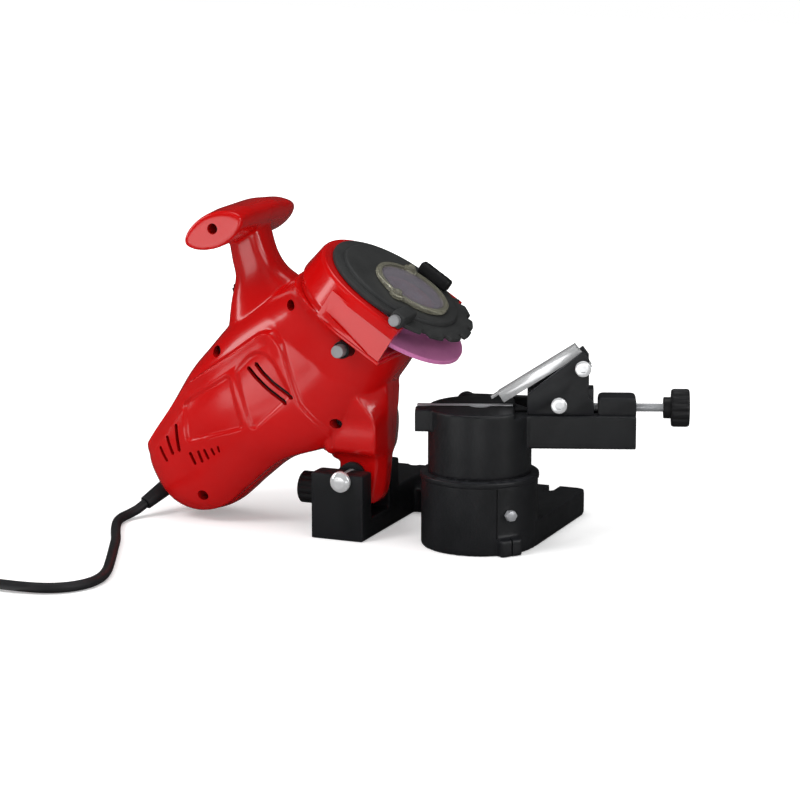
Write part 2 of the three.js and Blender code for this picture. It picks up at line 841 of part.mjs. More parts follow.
const noseSection = (behind, grow, half) => [
  ...spindlePoint(-drum.shift - drum.radius - grow, behind),
  ...spindlePoint(drum.sideEnd + grow, behind),
  half,
];

function barrelLoft(inset) {
  const stations = fromShares(barrelShares);
  const neckIn = noseSection(gears.start + drum.wall, housing.wall, housing.noseDepth);
  if (inset > 0) {
    const end = noseSection(housing.gearBack, -overrun, housing.noseInnerDepth);
    return loft([...stations.slice(1), neckIn, end].map((s) => section(s, inset)));
  }
  const end = noseSection(drum.back + clearance, -overrun, housing.noseEndDepth);
  const past = noseSection(drum.back - overrun, -overrun, housing.noseEndDepth);
  return loft([...stations, neckIn, end, past].map((s) => section(s, 0)));
}

function gripLoft(inset) {
  const [x, z] = headPoint(...screwShares.grip);
  const tilt = THREE.MathUtils.degToRad(housing.gripTilt);
  const stations = inset > 0 ? gripShares.slice(1, -1) : gripShares;
  const rings = stations.map(([place, share]) => {
    const ring = [];
    for (let i = 0; i < housing.sectionSides; i++) {
      const angle = (i / housing.sectionSides) * 2 * Math.PI;
      const c = Math.cos(angle) * (housing.gripChord * share - inset);
      const s = Math.sin(angle) * (housing.gripThickness * share - inset);
      const px = x + c * Math.cos(tilt) - s * Math.sin(tilt);
      const pz = z + c * Math.sin(tilt) + s * Math.cos(tilt);
      ring.push(new THREE.Vector3(px, place * housing.gripLength, pz));
    }
    return ring;
  });
  return loft(rings);
}

// A plate square to the wheel's axis, between two depths behind the wheel, reaching left past the axis.
function slab(from, to, left) {
  const wide = housing.span * 2;
  return inSpindle(box(-left, wide, -wide, wide, -to, -from));
}

const onMotorWorld = (piece) => inSpindle(onMotor(piece));
const outerForm = (inset) =>
  union(
    barrelLoft(inset),
    loft(fromShares(neckShares).map((s) => section(s, inset))),
    gripLoft(inset),
  );

function ventCutters() {
  return Object.values(ventShares).flatMap(({ from, to, step, width, count }) =>
    Array.from({ length: count }, (_, i) => {
      const [x0, z0] = headPoint(from[0] + step[0] * i, from[1] + step[1] * i);
      const [x1, z1] = headPoint(to[0] + step[0] * i, to[1] + step[1] * i);
      const length = Math.hypot(x1 - x0, z1 - z0);
      const half = (width * housing.span) / 2;
      const wide = housing.span;
      const cutter = box(0, length, -wide, wide, -half, half);
      const slope = THREE.MathUtils.radToDeg(Math.atan2(z1 - z0, x1 - x0));
      return cutter.rotate([0, -slope, 0]).translate([x0, 0, z0]);
    }),
  );
}

function housingScrews() {
  return Object.entries(screwShares).map(([place, share]) => {
    const [x, z] = headPoint(...share);
    const isGrip = place === "grip";
    const seat = isGrip ? housing.gripSeat : housing.screwSeat;
    return { place, x, z, seat };
  });
}

const switchPlace = () => {
  const [x0, z0, x1, z1] = fromShares(neckShares)[1];
  return [x0 + (x1 - x0) / 20, z0 + (z1 - z0) / 20];
};

function reliefFrame() {
  const start = new THREE.Vector3(...cordRoute[0]);
  const lean = new THREE.Vector3(...cordRoute[1]).sub(start).normalize();
  const turn = new THREE.Quaternion().setFromUnitVectors(new THREE.Vector3(0, 0, -1), lean);
  return new THREE.Matrix4().compose(start, turn, new THREE.Vector3(1, 1, 1));
}

function lockPoint() {
  return spindlePoint(lockButton.along, lockButton.behind);
}

function screwBosses(grow) {
  const radius = housing.screwHead + housing.bossWall / 2 + grow;
  return housingScrews().map(({ x, z, seat }) => barY(radius, -seat * 2, seat * 2, x, z, 10));
}

function housingShell() {
  const footHalf = block.gapHalf - bushing.flange - 2 * clearance;
  const outer = outerForm(0).add(loft(fromShares(footShares, footHalf).map((s) => section(s, 0))));
  const rearEnd = motor.rearBearing + bearing.width;
  const bearingSeat = bearing.radius + clearance;
  const stackEnd = motor.stackStart + motor.stackLength;
  const thin = housing.ribThickness / 2;
  const ribs = [
    [housing.plateStart - thin, housing.plateStart - clearance, drum.radius + drum.shift * 2],
    [plateEndDepth + clearance, plateEndDepth + thin, drum.radius + drum.shift * 2],
    [motor.stackStart, motor.stackStart + housing.ribThickness, housing.span * 2],
    [stackEnd - housing.ribThickness, stackEnd, housing.span * 2],
    [motor.rearBearing - clearance, rearEnd, housing.span * 2],
  ].map(([from, to, left]) => slab(from, to, left));
  const screws = housingScrews();
  const screwEnd = housing.screwGrip + overrun;
  const reach = housing.span;
  const cavity = [...ribs, ...screwBosses(0)].reduce((a, b) => a.subtract(b), outerForm(housing.wall));
  const shell = outer.subtract(cavity);
  const gearEnd = gears.start + gears.width + clearance * 2;
  const gearRadius = gearTip(gears.wheelTeeth) + overrun;
  const pinionRadius = gearTip(gears.pinionTeeth) + overrun;
  const cuts = [
    inSpindle(onSpindle(bar(gearRadius, gears.start - clearance * 2, gearEnd, 20))),
    onMotorWorld(bar(pinionRadius, gears.start - clearance * 2, gearEnd, 20)),
    inSpindle(onSpindle(bar(bearingSeat, drum.back - overrun, gears.start, 16))),
    inSpindle(onSpindle(bar(bearing.radius, gears.start, plateEndDepth + bearing.width * 2, 16))),
    onMotorWorld(bar(bearing.radius, gears.start, motor.fanStart, 16)),
    onMotorWorld(bar(motor.statorRadius + clearance, plateEndDepth + thin * 2, stackEnd + overrun, 20)),
    onMotorWorld(bar(bearingSeat, motor.stackStart, rearEnd + clearance * 4, 16)),
    onMotorWorld(bar(bearing.throatRadius, motor.rearBearing, rearEnd + bearing.width * 2, 12)),
    barY(bushing.radius + clearance, -reach, reach, hingeX, hinge.height, 16),
    inSpindle(box(-reach, reach, -reach, reach, -drum.back, drum.top * 2)).subtract(gripGuard()),
    ...ventCutters(),
    ...screws.map(({ x, z, seat }) => barY(housing.screwHead + clearance, -reach, -seat, x, z, 12)),
    ...screws.map(({ x, z }) => barY(housing.screwShank + clearance, -reach, screwEnd, x, z, 8)),
    switchBay(),
    placedRelief(clearance),
    barY(lockButton.sleeveRadius + clearance, -reach, -lockButton.tip, ...lockPoint(), 20),
  ];
  return cuts.reduce((piece, cutter) => piece.subtract(cutter), shell);
}

// The drum's cutter must spare the neck and the grip, which stand beside it.
function gripGuard() {
  const [x] = headPoint(neckShares[1][2], 0);
  const reach = housing.span * 3;
  return box(x - reach, x, -reach, reach, -reach, reach);
}

function switchBay() {
  const [x, z] = switchPlace();
  const h = powerSwitch.height / 2 + clearance;
  const w = powerSwitch.width / 2 + clearance;
  return box(x - housing.span, x + powerSwitch.depth + clearance, -w, w, z - h, z + h);
}

function placedRelief(grow) {
  const relief = bar(
    cordSize.reliefEnd + grow,
    0,
    cordSize.reliefLength + grow,
    20,
    cordSize.reliefStart + grow,
  );
  return relief.transform(reliefFrame().elements).translate(reliefGap());
}

// The relief stops one clearance short of the cord's first point.
function reliefGap() {
  const start = new THREE.Vector3(...cordRoute[0]);
  const lean = new THREE.Vector3(...cordRoute[1]).sub(start).setLength(clearance);
  return [-lean.x, -lean.y, -lean.z];
}

function housingMeshes() {
  const shell = housingShell();
  const reach = housing.span * 4;
  const half = clearance / 2;
  const front = shell.intersect(box(-reach, reach, -reach, -half, -reach, reach));
  const rear = shell.intersect(box(-reach, reach, half, reach, -reach, reach));
  const screws = housingScrews().map(({ place, x, z, seat }) => {
    const screw = union(
      barY(housing.screwHead, -seat - housing.screwHead, -seat - clearance, x, z, 12),
      barY(housing.screwShank, -seat - overrun, housing.screwGrip, x, z, 8),
    );
    return mesh("housing_screw_" + place, screw, steel);
  });
  return [mesh("housing_front", front, redPlastic), mesh("housing_rear", rear, redPlastic), ...screws];
}

function bushMeshes() {
  return [-1, 1].map((side) => {
    const outer = block.gapHalf - clearance;
    const profile = [
      [hinge.boltRadius + clearance, outer - bushing.length],
      [bushing.radius, outer - bushing.length],
      [bushing.radius, outer - bushing.flange],
      [bushing.flangeRadius, outer - bushing.flange],
      [bushing.flangeRadius, outer],
      [hinge.boltRadius + clearance, outer],
    ];
    const piece = turned(profile, 16).rotate([side > 0 ? -90 : 90, 0, 0]);
    const name = side > 0 ? "hinge_bush_rear" : "hinge_bush_front";
    return mesh(name, piece.translate([hingeX, 0, hinge.height]), blackPlastic);
  });
}

const gearModule = (2 * gears.centreDistance) / (gears.wheelTeeth + gears.pinionTeeth);
const gearTip = (teeth) => (teeth / 2 + gears.tipShare) * gearModule;

// A gear whose teeth are narrower than their spaces, so that a pair meshes with play.
function gear(teeth, boreRadius, phase) {
  const pitchRadius = (teeth / 2) * gearModule;
  const slope = Math.tan(THREE.MathUtils.degToRad(gears.pressureAngle));
  const halfTooth = gears.toothShare * Math.PI * gearModule;
  const points = [];
  const rows = [
    [-gears.rootShare, -1],
    [gears.tipShare, -1],
    [gears.tipShare, 1],
    [-gears.rootShare, 1],
  ];
  for (let tooth = 0; tooth < teeth; tooth++) {
    const middle = ((tooth + phase) / teeth) * 2 * Math.PI;
    for (const [rise, side] of rows) {
      const radius = pitchRadius + rise * gearModule;
      const angle = middle + (side * (halfTooth - rise * gearModule * slope)) / radius;
      points.push([radius * Math.cos(angle), radius * Math.sin(angle)]);
    }
  }
  return prism(points, gears.start, gears.start + gears.width).subtract(bar(boreRadius, 0, gears.start * 2));
}

function ring(outer, inner, from, to, sides = 24) {
  return bar(outer, from, to, sides).subtract(bar(inner, from - overrun, to + overrun, sides));
}

function spindleMeshes() {
  const flangeFace = wheelHalf + clearance;
  const shaft = union(
    bar(spindle.shaftRadius, -plateEndDepth - overrun, spindle.tip, 20),
    bar(spindle.flangeRadius, -flangeFace - spindle.innerFlange, -flangeFace, 24),
    bar(wheel.boreRadius - clearance, -flangeFace - overrun, wheelHalf - clearance, 24),
  );
  const boreFit = spindle.shaftRadius + clearance;
  const outerEnd = flangeFace + spindle.outerFlange;
  return [
    mesh("spindle_shaft", shaft, steel),
    mesh("driven_gear", onSpindle(gear(gears.wheelTeeth, boreFit, 0)), steel),
    mesh("grinding_wheel", ring(wheel.radius, wheel.boreRadius, -wheelHalf, wheelHalf, 48), abrasive),
    mesh("outer_flange", ring(spindle.flangeRadius, boreFit, flangeFace, outerEnd), steel),
    mesh(
      "wheel_nut",
      bar(spindle.nutRadius, outerEnd + clearance, outerEnd + spindle.nutHeight, 6).subtract(
        bar(boreFit, 0, drum.top, 20),
      ),
      steel,
    ),
  ];
}

function rotorMeshes() {
  const m = motor;
  const shaft = bar(m.shaftRadius, gears.start - overrun, m.rearBearing + bearing.width + overrun, 20);
  const fit = m.shaftRadius + clearance;
  const stackEnd = m.stackStart + m.stackLength;
  const armature = union(
    bar(m.armatureRadius, m.stackStart, stackEnd, 20),
    bar(m.windingRadius, m.stackStart - m.coilReach, stackEnd + m.coilReach, 16),
  ).subtract(bar(fit, 0, m.rearBearing));
  const blade = (i) =>
    turnAbout(
      box(fit + m.fanWidth / 2, m.fanRadius, 0, m.fanWidth / 5, m.fanStart, m.fanStart + m.fanWidth),
      (360 / m.fanBlades) * i,
    );
  const fan = union(
    bar(m.fanRadius, m.fanStart, m.fanStart + m.fanWidth / 5, 24),
    bar(m.fanWidth, m.fanStart, m.fanStart + m.fanWidth, 16),
    ...Array.from({ length: m.fanBlades }, (_, i) => blade(i)),
  ).subtract(bar(fit, 0, m.rearBearing));
  const commutatorEnd = m.commutatorStart + m.commutatorLength;
  const commutator = ring(m.commutatorRadius, fit, m.commutatorStart, commutatorEnd, 24);
  return [
    mesh("motor_shaft", onMotor(shaft), steel),
    mesh("pinion", onMotor(gear(gears.pinionTeeth, fit, 0.5)), steel),
    mesh("cooling_fan", onMotor(fan), blackPlastic),
    mesh("armature", onMotor(armature), copper),
    mesh("commutator", onMotor(commutator), copper),
  ];
}

function motorMeshes() {
  const m = motor;
  const stackEnd = m.stackStart + m.stackLength;
  const stack = ring(m.statorRadius, m.statorBore, m.stackStart, stackEnd, 20);
  const coils = ring(
    m.statorRadius - m.coilReach / 2,
    m.statorBore + m.coilReach / 6,
    m.stackStart - m.coilReach,
    stackEnd + m.coilReach,
    20,
  );
  const brushes = [-1, 1].map((side) => {
    const inner = m.commutatorRadius + clearance;
    const half = m.brushWidth / 2;
    const middle = m.commutatorStart + m.commutatorLength / 2;
    const y0 = side > 0 ? inner : -inner - m.brushLength;
    const name = side > 0 ? "brush_holder_rear" : "brush_holder_front";
    return mesh(name, onMotor(box(-half, half, y0, y0 + m.brushLength, middle - half, middle + half)), brass);
  });
  const race = (start, shaftRadius) =>
    ring(bearing.radius, shaftRadius + clearance, start, start + bearing.width, 16);
  const slabFrom = housing.plateStart;
  const blank = slab(slabFrom, plateEndDepth, drum.radius + drum.shift * 2 - clearance).intersect(
    barrelLoft(housing.wall + clearance),
  );
  const plate = screwBosses(clearance)
    .reduce((piece, boss) => piece.subtract(boss), blank)
    .transform(new THREE.Matrix4().copy(spindleFrame).invert().elements)
    .subtract(onSpindle(bar(bearing.radius + clearance, slabFrom - overrun, plateEndDepth + overrun, 24)))
    .subtract(onMotor(bar(bearing.radius + clearance, slabFrom - overrun, plateEndDepth + overrun, 24)));
  return [
    mesh("stator", onMotor(stack.add(coils)), steel),
    ...brushes,
    mesh("motor_bearing_front", onMotor(race(slabFrom, m.shaftRadius)), steel),
    mesh("motor_bearing_rear", onMotor(race(m.rearBearing, m.shaftRadius)), steel),
    mesh("spindle_bearing_front", onSpindle(race(drum.back + overrun + clearance, spindle.shaftRadius)), steel),
    mesh("spindle_bearing_rear", onSpindle(race(slabFrom, spindle.shaftRadius)), steel),
    mesh("gearbox_plate", plate, steel),
  ];
}

// The drum round the wheel: a wall swept along a half circle with two straight sides, on a flat back.
function drumMesh() {
  const r = drum.radius;
  const inner = r - drum.wall;
  const mouth = drum.mouthRadius + drum.wall;
  const profile = [
    [inner, -drum.back],
    [r, -drum.back + drum.wall / 2],
    [r, drum.shoulder],
    [(r + mouth) / 2 + drum.wall / 2, (drum.shoulder + drum.top) / 2 + drum.wall / 2],
    [mouth, drum.top],
    [drum.mouthRadius, drum.top],
    [drum.mouthRadius, drum.top - drum.wall],
    [(inner + drum.mouthRadius) / 2, (drum.shoulder + drum.top) / 2],
    [inner, drum.shoulder],
  ];
  const rings = [];
  const sideRing = (x, side) => profile.map(([radius, z]) => new THREE.Vector3(x, side * radius, z));
  rings.push(sideRing(drum.sideEnd, -1));
  for (let i = 0; i <= drum.turns; i++) {
    const angle = -Math.PI / 2 - (Math.PI * i) / drum.turns;
    rings.push(
      profile.map(
        ([radius, z]) => new THREE.Vector3(-drum.shift + radius * Math.cos(angle), radius * Math.sin(angle), z),
      ),
    );
  }
  rings.push(sideRing(drum.sideEnd, 1));
  const wallSolid = loft(rings);
  const seat = inner + drum.wall / 2;
  const backTop = -drum.back + drum.backThickness;
  const back = bar(seat, -drum.back, backTop, base.sides)
    .translate([-drum.shift, 0, 0])
    .add(box(-drum.shift, drum.sideEnd, -seat, seat, -drum.back, backTop))
    .subtract(box(drum.sideEnd, drum.radius * 2, -r, r, -drum.back - overrun, backTop + overrun));
  const passage = bar(drum.passageRadius, -drum.back - overrun, backTop + overrun, 24);
  return mesh("guard_ring", wallSolid.add(back).subtract(passage), redPlastic);
}

function guardMeshes() {
  const points = [];
  for (let i = 0; i < cover.steps; i++) {
    const degrees = (360 / cover.steps) * i - 180;
    const place = (degrees + cover.toothSpan / 2) / (cover.toothSpan / cover.toothCount);
    const inTeeth = Math.abs(degrees) <= cover.toothSpan / 2;
    const radius = inTeeth && place % 1 < cover.toothShare ? cover.toothRadius : cover.radius;
    const angle = THREE.MathUtils.degToRad(degrees);
    points.push([radius * Math.cos(angle) - drum.shift, radius * Math.sin(angle)]);
  }
  const opening = windowPane.radius - windowPane.ledge;
  const hole = bar(opening, coverBottom - overrun, coverTop + overrun, 32);
  const plate = prism(points, coverBottom, coverBottom + cover.thickness);
  const raised = bar(cover.stepRadius, coverBottom, coverTop, 32).translate([-drum.shift, 0, 0]);
  const lugX = drum.sideEnd - guardPin.lugHalf;
  const lugY = -drum.radius + drum.wall;
  const lug = box(
    lugX - guardPin.lugHalf,
    lugX + guardPin.lugHalf,
    lugY,
    -cover.radius + guardPin.length,
    coverBottom,
    coverBottom + guardPin.lugHalf * 2,
  );
  const pinZ = coverBottom + guardPin.lugHalf;
  const pinEnd = lugY + guardPin.length;
  const pinHole = barY(guardPin.radius + clearance, lugY - overrun, pinEnd + clearance, lugX, pinZ, 16);
  const pin = union(
    barY(guardPin.headRadius, lugY - guardPin.headHeight - clearance, lugY - clearance, lugX, pinZ, 20),
    barY(guardPin.radius, lugY - clearance, pinEnd, lugX, pinZ, 16),
  );
  const seat = coverTop + clearance;
  const rimOuter = windowPane.radius + windowPane.rim;
  const rimTop = seat + windowPane.rimHeight;
  const ears = windowPane.earAngles.flatMap((degrees) =>
    [
      bar(windowPane.earRadius, seat, rimTop, 10),
      bar(windowPane.studRadius, seat, seat + windowPane.studHeight, 8),
    ].map((piece) => turnAbout(piece.translate([rimOuter, 0, 0]), degrees)),
  );
  const bore = bar(windowPane.radius + clearance, seat - overrun, seat + windowPane.studHeight + overrun, 28);
  const frame = union(bar(rimOuter, seat, rimTop, 28), ...ears).subtract(bore);
  const lens = bar(windowPane.radius, seat, seat + windowPane.thickness, 28);
  const gripHalf = gripBlock.length / 2;
  const grip = box(
    -gripHalf,
    gripHalf,
    gripBlock.offset,
    gripBlock.offset + gripBlock.width,
    seat,
    seat + gripBlock.height,
  );
  return [
    mesh("guard_cover", plate.add(raised).add(lug).subtract(hole).subtract(pinHole), blackPlastic),
    mesh("guard_pin", pin, chrome),
    mesh("window_frame", frame, clearPlastic),
    mesh("window_pane", lens, clearPlastic),
    mesh("guard_grip", grip, blackPlastic),
  ];
}

function lockButtonMesh() {
  const [x, z] = lockPoint();
  const neck = -lockButton.sleeveStart - lockButton.travel;
  const piece = union(
    barY(lockButton.radius, -lockButton.end, neck, x, z, 20),
    barY(lockButton.radius / 2, neck - overrun, -lockButton.tip, x, z, 12),
  );
  return mesh("spindle_lock_button", piece, steel);
}

function lockSleeveMesh() {
  const [x, z] = lockPoint();
  const from = -lockButton.sleeveEnd;
  const to = -lockButton.sleeveStart;
  const sleeve = barY(lockButton.sleeveRadius, from, to, x, z, 20).subtract(
    barY(lockButton.radius + clearance, from - overrun, to + overrun, x, z, 20),
  );
  return mesh("lock_sleeve", sleeve, blackPlastic);
}

function switchMeshes() {
  const [x, z] = switchPlace();
  const h = powerSwitch.height / 2;
  const w = powerSwitch.width / 2;
  const rh = powerSwitch.rockerHeight / 2;
  const rw = powerSwitch.rockerWidth / 2;
  const pocket = box(
    x - overrun,
    x + powerSwitch.rockerProud * 2,
    -rw - clearance,
    rw + clearance,
    z - rh - clearance,
    z + rh + clearance,
  );
  const body = box(x, x + powerSwitch.depth, -w, w, z - h, z + h).subtract(pocket);
  const deep = powerSwitch.rockerProud * 2 - clearance;
  const rocker = sidePrism(
    [
      [x - powerSwitch.rockerProud, z - rh * 0.9],
      [x - powerSwitch.rockerDip, z],
      [x - powerSwitch.rockerProud, z + rh * 0.9],
      [x + overrun, z + rh * 0.86],
      [x + deep, z],
      [x + overrun, z - rh * 0.86],
    ],
    -rw,
    rw,
  );
  return { body: mesh("switch_body", body, blackPlastic), rocker: mesh("switch_rocker", rocker, blackPlastic) };
}

// A tube of round section along points, its ends square to the first and last steps.
function tube(points, radius, sides) {
  const path = points.map((p) => new THREE.Vector3(...p));
  const rings = path.map((p, i) => {
    const before = path[Math.max(i - 1, 0)];
    const after = path[Math.min(i + 1, path.length - 1)];
    const heading = after.clone().sub(before).normalize();
    const side = new THREE.Vector3(0, 0, 1).cross(heading).normalize();
    const up = heading.clone().cross(side);
    return Array.from({ length: sides }, (_, k) => {
      const angle = ((k + 0.5) / sides) * 2 * Math.PI;
      const out = p.clone().addScaledVector(side, radius * Math.cos(angle));
      return out.addScaledVector(up, radius * Math.sin(angle));
    });
  });
  return loft(rings);
}

// The coil: in along the bench, up a layer in half a turn, out again, then straight off to the plug.
function coilPath() {
  const [cx, cy] = coil.centre;
  const points = [];
  const steps = Math.round(coil.stepsPerTurn * coil.layerTurns);
  const climb = coil.stepsPerTurn / 2;
  const draw = (coil.pitch * coil.layerTurns) / 2;
  const low = cordSize.radius + coil.lift;
  const total = steps * 2 + climb;
  for (let i = 0; i <= total; i++) {
    const angle = Math.PI / 2 + (i / coil.stepsPerTurn) * 2 * Math.PI;
    const rise = Math.min(Math.max((i - steps) / climb, 0), 1);
    const inward = Math.min(i, steps, total - i) / steps;
    const radius = coil.meanRadius + draw - 2 * draw * inward;
    const z = low + (coil.pitch - clearance) * rise;
    points.push([cx + radius * Math.cos(angle), cy + radius * Math.sin(angle), z]);
  }
  return points;
}

// The least gap between turns that are more than a quarter turn apart along the cord.
function coilGap(points) {
  let least = Infinity;
  const apart = coil.stepsPerTurn / 4;
  points.forEach((p, i) => {
    for (let j = i + apart; j < points.length; j++) {
      const q = points[j];
      const gap = Math.hypot(p[0] - q[0], p[1] - q[1], p[2] - q[2]) - 2 * cordSize.radius;
      least = Math.min(least, gap);
    }
  });
  return least;
}

function cordMeshes() {
  const path = coilPath();
  const straight = 2 * cordSize.radius;
  const extend = (a, b, by) => {
    const heading = new THREE.Vector3(...b).sub(new THREE.Vector3(...a)).setZ(0).setLength(by);
    return [b[0] + heading.x, b[1] + heading.y, b[2]];
  };
  const entry = [path[0][0] + straight, path[0][1], path[0][2]];
  const plugHeight = plug.height / 2 + clearance;
  const drop = path.at(-1)[2] - plugHeight;
  const tail = [...coil.tailShares, 1 + straight / coil.tail].map((share) => {
    const [x, y, z] = extend(path.at(-2), path.at(-1), coil.tail * share);
    return [x, y, z - drop * Math.min(share, 1) ** 2 * (3 - 2 * Math.min(share, 1))];
  });
  const exit = tail.at(-1);
  const wound = [entry, ...path, ...tail];
  console.log("least gap between the coil's turns: " + coilGap(path).toFixed(2) + " mm");
  const curve = new THREE.CatmullRomCurve3(cordRoute.map((p) => new THREE.Vector3(...p)), false, "centripetal");
  const joint = [entry[0] + clearance, entry[1], entry[2]];
  const ends = new THREE.CatmullRomCurve3(
    [...curve.points.slice(0, -1), new THREE.Vector3(...joint)],
    false,
    "centripetal",
  );
  const sampled = ends.getSpacedPoints(24).map((p) => [p.x, p.y, p.z]);
  const heading = Math.atan2(exit[1] - path.at(-1)[1], exit[0] - path.at(-1)[0]);
  const halfW = plug.width / 2;
  const bodyShape = box(0, plug.length, -halfW, halfW, -plug.height / 2, plug.height / 2);
  const pinEnd = plug.length + plug.pinLength;
  const pins = [-1, 1].map((side) =>
    barX(plug.pinRadius, plug.length - overrun, pinEnd, (side * plug.pinSpacing) / 2, 0, 12),
  );
  const neckPiece = barX(plug.neckRadius, -plug.neckLength, overrun, 0, 0, 16);
  const plugPiece = union(bodyShape, neckPiece, ...pins)
    .translate([plug.neckLength + clearance, 0, 0])
    .rotate([0, 0, THREE.MathUtils.radToDeg(heading)])
    .translate(exit);
  const bundle = coil.meanRadius;
  const halfBand = (coil.pitch * coil.layerTurns) / 2 + cordSize.radius + clearance;
  const top = 2 * (cordSize.radius + coil.pitch / 2) + coil.lift + clearance;
  const band = coil.lift - clearance;
  const halfTie = cordSize.radius;
  const tieFrame = box(-halfBand - band, halfBand + band, -halfTie, halfTie, 0, top + band).subtract(
    box(-halfBand, halfBand, -halfTie - overrun, halfTie + overrun, band, top),
  );
  const tie = tieFrame.translate([coil.centre[0] - bundle, coil.centre[1], 0]);
  return [
    mesh("cord_lead", tube(sampled, cordSize.radius, 8), cordRubber),
    mesh("cord_coil", tube(wound, cordSize.radius, coil.sides), cordRubber),
    mesh("cord_tie", tie, blackPlastic),
    mesh("plug", plugPiece, blackPlastic),
  ];
}

const inGroup = (meshes, place) => {
  const group = new THREE.Group();
  group.add(...meshes);
  if (place) place(group);
  return group;
};

const { jaw, lever } = clampMeshes();
const { body: switchBody, rocker } = switchMeshes();

const viseGroup = inGroup(
  [
    mesh("vise_body", viseBody(), blackCasting),
    jaw,
    lever,
    ...carrierMeshes(),
    stopMesh(),
    ...adjusterMeshes(),
  ],
  (group) => {
    group.rotation.z = THREE.MathUtils.degToRad(vise.swivel);
  },
);

const spindleGroup = inGroup(
  [...spindleMeshes(), ...rotorMeshes(), ...motorMeshes(), drumMesh(), ...guardMeshes()],
  (group) => {
    group.position.set(...new THREE.Vector3().setFromMatrixPosition(spindleFrame).toArray());
    group.rotation.y = THREE.MathUtils.degToRad(spindle.tilt);
  },
);

const headGroup = inGroup([
  ...housingMeshes(),
  ...bushMeshes(),
  lockButtonMesh(),
  lockSleeveMesh(),
  switchBody,
  rocker,
  mesh("strain_relief", placedRelief(0), cordRubber),
  spindleGroup,
]);

const sharpener = new THREE.Group();
sharpener.add(...baseMeshes(), lockScrewMesh(), ...depthStopMeshes(), ...cordMeshes(), viseGroup, headGroup);

export default sharpener;
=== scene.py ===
"""Electric chainsaw sharpener: the looks of its pieces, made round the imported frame.
Metres, +Z up, in the frame's own axes. Sizes in millimetres are multiplied by MM.
"""
import json
from math import asin, atan2, copysign, cos, pi, radians, sin

import bmesh
import bpy
import numpy as np
from mathutils import Matrix, Vector


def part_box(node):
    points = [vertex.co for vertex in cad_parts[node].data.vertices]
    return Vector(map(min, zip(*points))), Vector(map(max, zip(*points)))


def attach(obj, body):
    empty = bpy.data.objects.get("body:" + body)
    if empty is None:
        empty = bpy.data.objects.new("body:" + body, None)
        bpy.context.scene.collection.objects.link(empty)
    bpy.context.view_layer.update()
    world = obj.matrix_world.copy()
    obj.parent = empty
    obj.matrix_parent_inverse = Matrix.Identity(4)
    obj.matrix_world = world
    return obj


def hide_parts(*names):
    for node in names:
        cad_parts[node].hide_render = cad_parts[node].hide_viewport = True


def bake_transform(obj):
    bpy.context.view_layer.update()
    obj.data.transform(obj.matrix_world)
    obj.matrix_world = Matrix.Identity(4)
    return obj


MM = 0.001


def moved(x, y, z):
    return Matrix.Translation(Vector((x, y, z)) * MM)


def spin(angle, axis):
    return Matrix.Rotation(angle, 4, axis)


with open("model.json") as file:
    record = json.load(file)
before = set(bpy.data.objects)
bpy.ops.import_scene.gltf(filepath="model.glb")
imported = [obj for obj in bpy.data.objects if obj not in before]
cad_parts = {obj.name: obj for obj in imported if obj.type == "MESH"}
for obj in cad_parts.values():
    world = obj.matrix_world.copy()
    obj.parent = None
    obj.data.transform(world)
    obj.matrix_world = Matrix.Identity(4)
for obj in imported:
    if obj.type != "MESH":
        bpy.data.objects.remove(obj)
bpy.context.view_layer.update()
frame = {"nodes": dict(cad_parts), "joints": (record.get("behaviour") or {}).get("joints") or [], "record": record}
nodes = frame["nodes"]
joints = {joint["name"]: joint for joint in frame["joints"]}
SLOT_OF = {part["node"]: part["material_slot"] for part in frame["record"]["subparts"]}
BODY_OF = {node: body for body, group in frame["record"]["behaviour"]["bodies"].items() for node in group}

# Places that come from the frame
HINGE = Vector(joints["head_swing"]["pos_m"])
HINGE_X, HINGE_Z = HINGE.x / MM, HINGE.z / MM
WHEEL = Vector(joints["wheel_spin"]["pos_m"])
TILT = atan2(joints["wheel_spin"]["axis"][0], joints["wheel_spin"]["axis"][2])
SWIVEL = atan2(joints["carrier_slide"]["axis"][1], joints["carrier_slide"]["axis"][0])
IN_SPINDLE = Matrix.Translation(WHEEL) @ spin(TILT, "Y")
IN_VISE = spin(SWIVEL, "Z")
HERE = Matrix.Identity(4)

# The photograph's view
VIEW_AZIMUTH = radians(22.7)
VIEW_ELEVATION = radians(12)
AIM = Vector((-59.5, -2.3, 97.9)) * MM
VIEW_WIDTH = 563.4 * MM
VIEW_DISTANCE = 2.2
SENSOR = 36


class Sizes(dict):
    """Sizes that are read by name: millimetres, or shares, counts and angles."""

    __getattr__ = dict.__getitem__


# The gap between pieces, how far a cutter passes a face, and a length beyond every piece
GAP = 0.3
PAST = 1
FAR = 200
# The solids' sizes, with the finer ones of the rounded and cut forms
BASE = Sizes(
    cup=41, bore=36, height=52, floor=7, rim=41.8, rim_height=4, back=112, bar=50, flange=18, arm=27.5,
    slot=9, slot_depth=14, slot_inset=25, lug=(17, 12, 46), lug_turn=radians(-39), split=1.2, seam=0.9,
    boss=10, boss_top=32.4, pivot=4.3, lock_bore=2.8, lock_height=28.8,
)
BLOCK = Sizes(left=-114.5, right=-75, gap=16.3, half=33.6, height=48, web=14, wall=8.5, wall_height=40)
BOLT = Sizes(radius=5, head=7.5, head_height=5, crown=(0.6, 0.25), side=1.8)
BUSH = Sizes(radius=7, flange=9.8, depth=3.5, length=12)
DEPTH = Sizes(
    height=28.5, setback=2, radius=3, knob=11.7, left=-135, right=-118, ridges=12, rib=0.09, ribs_end=0.8,
    hub=0.7, dish=(0.62, 0.55, 0.9, 1.2),
)
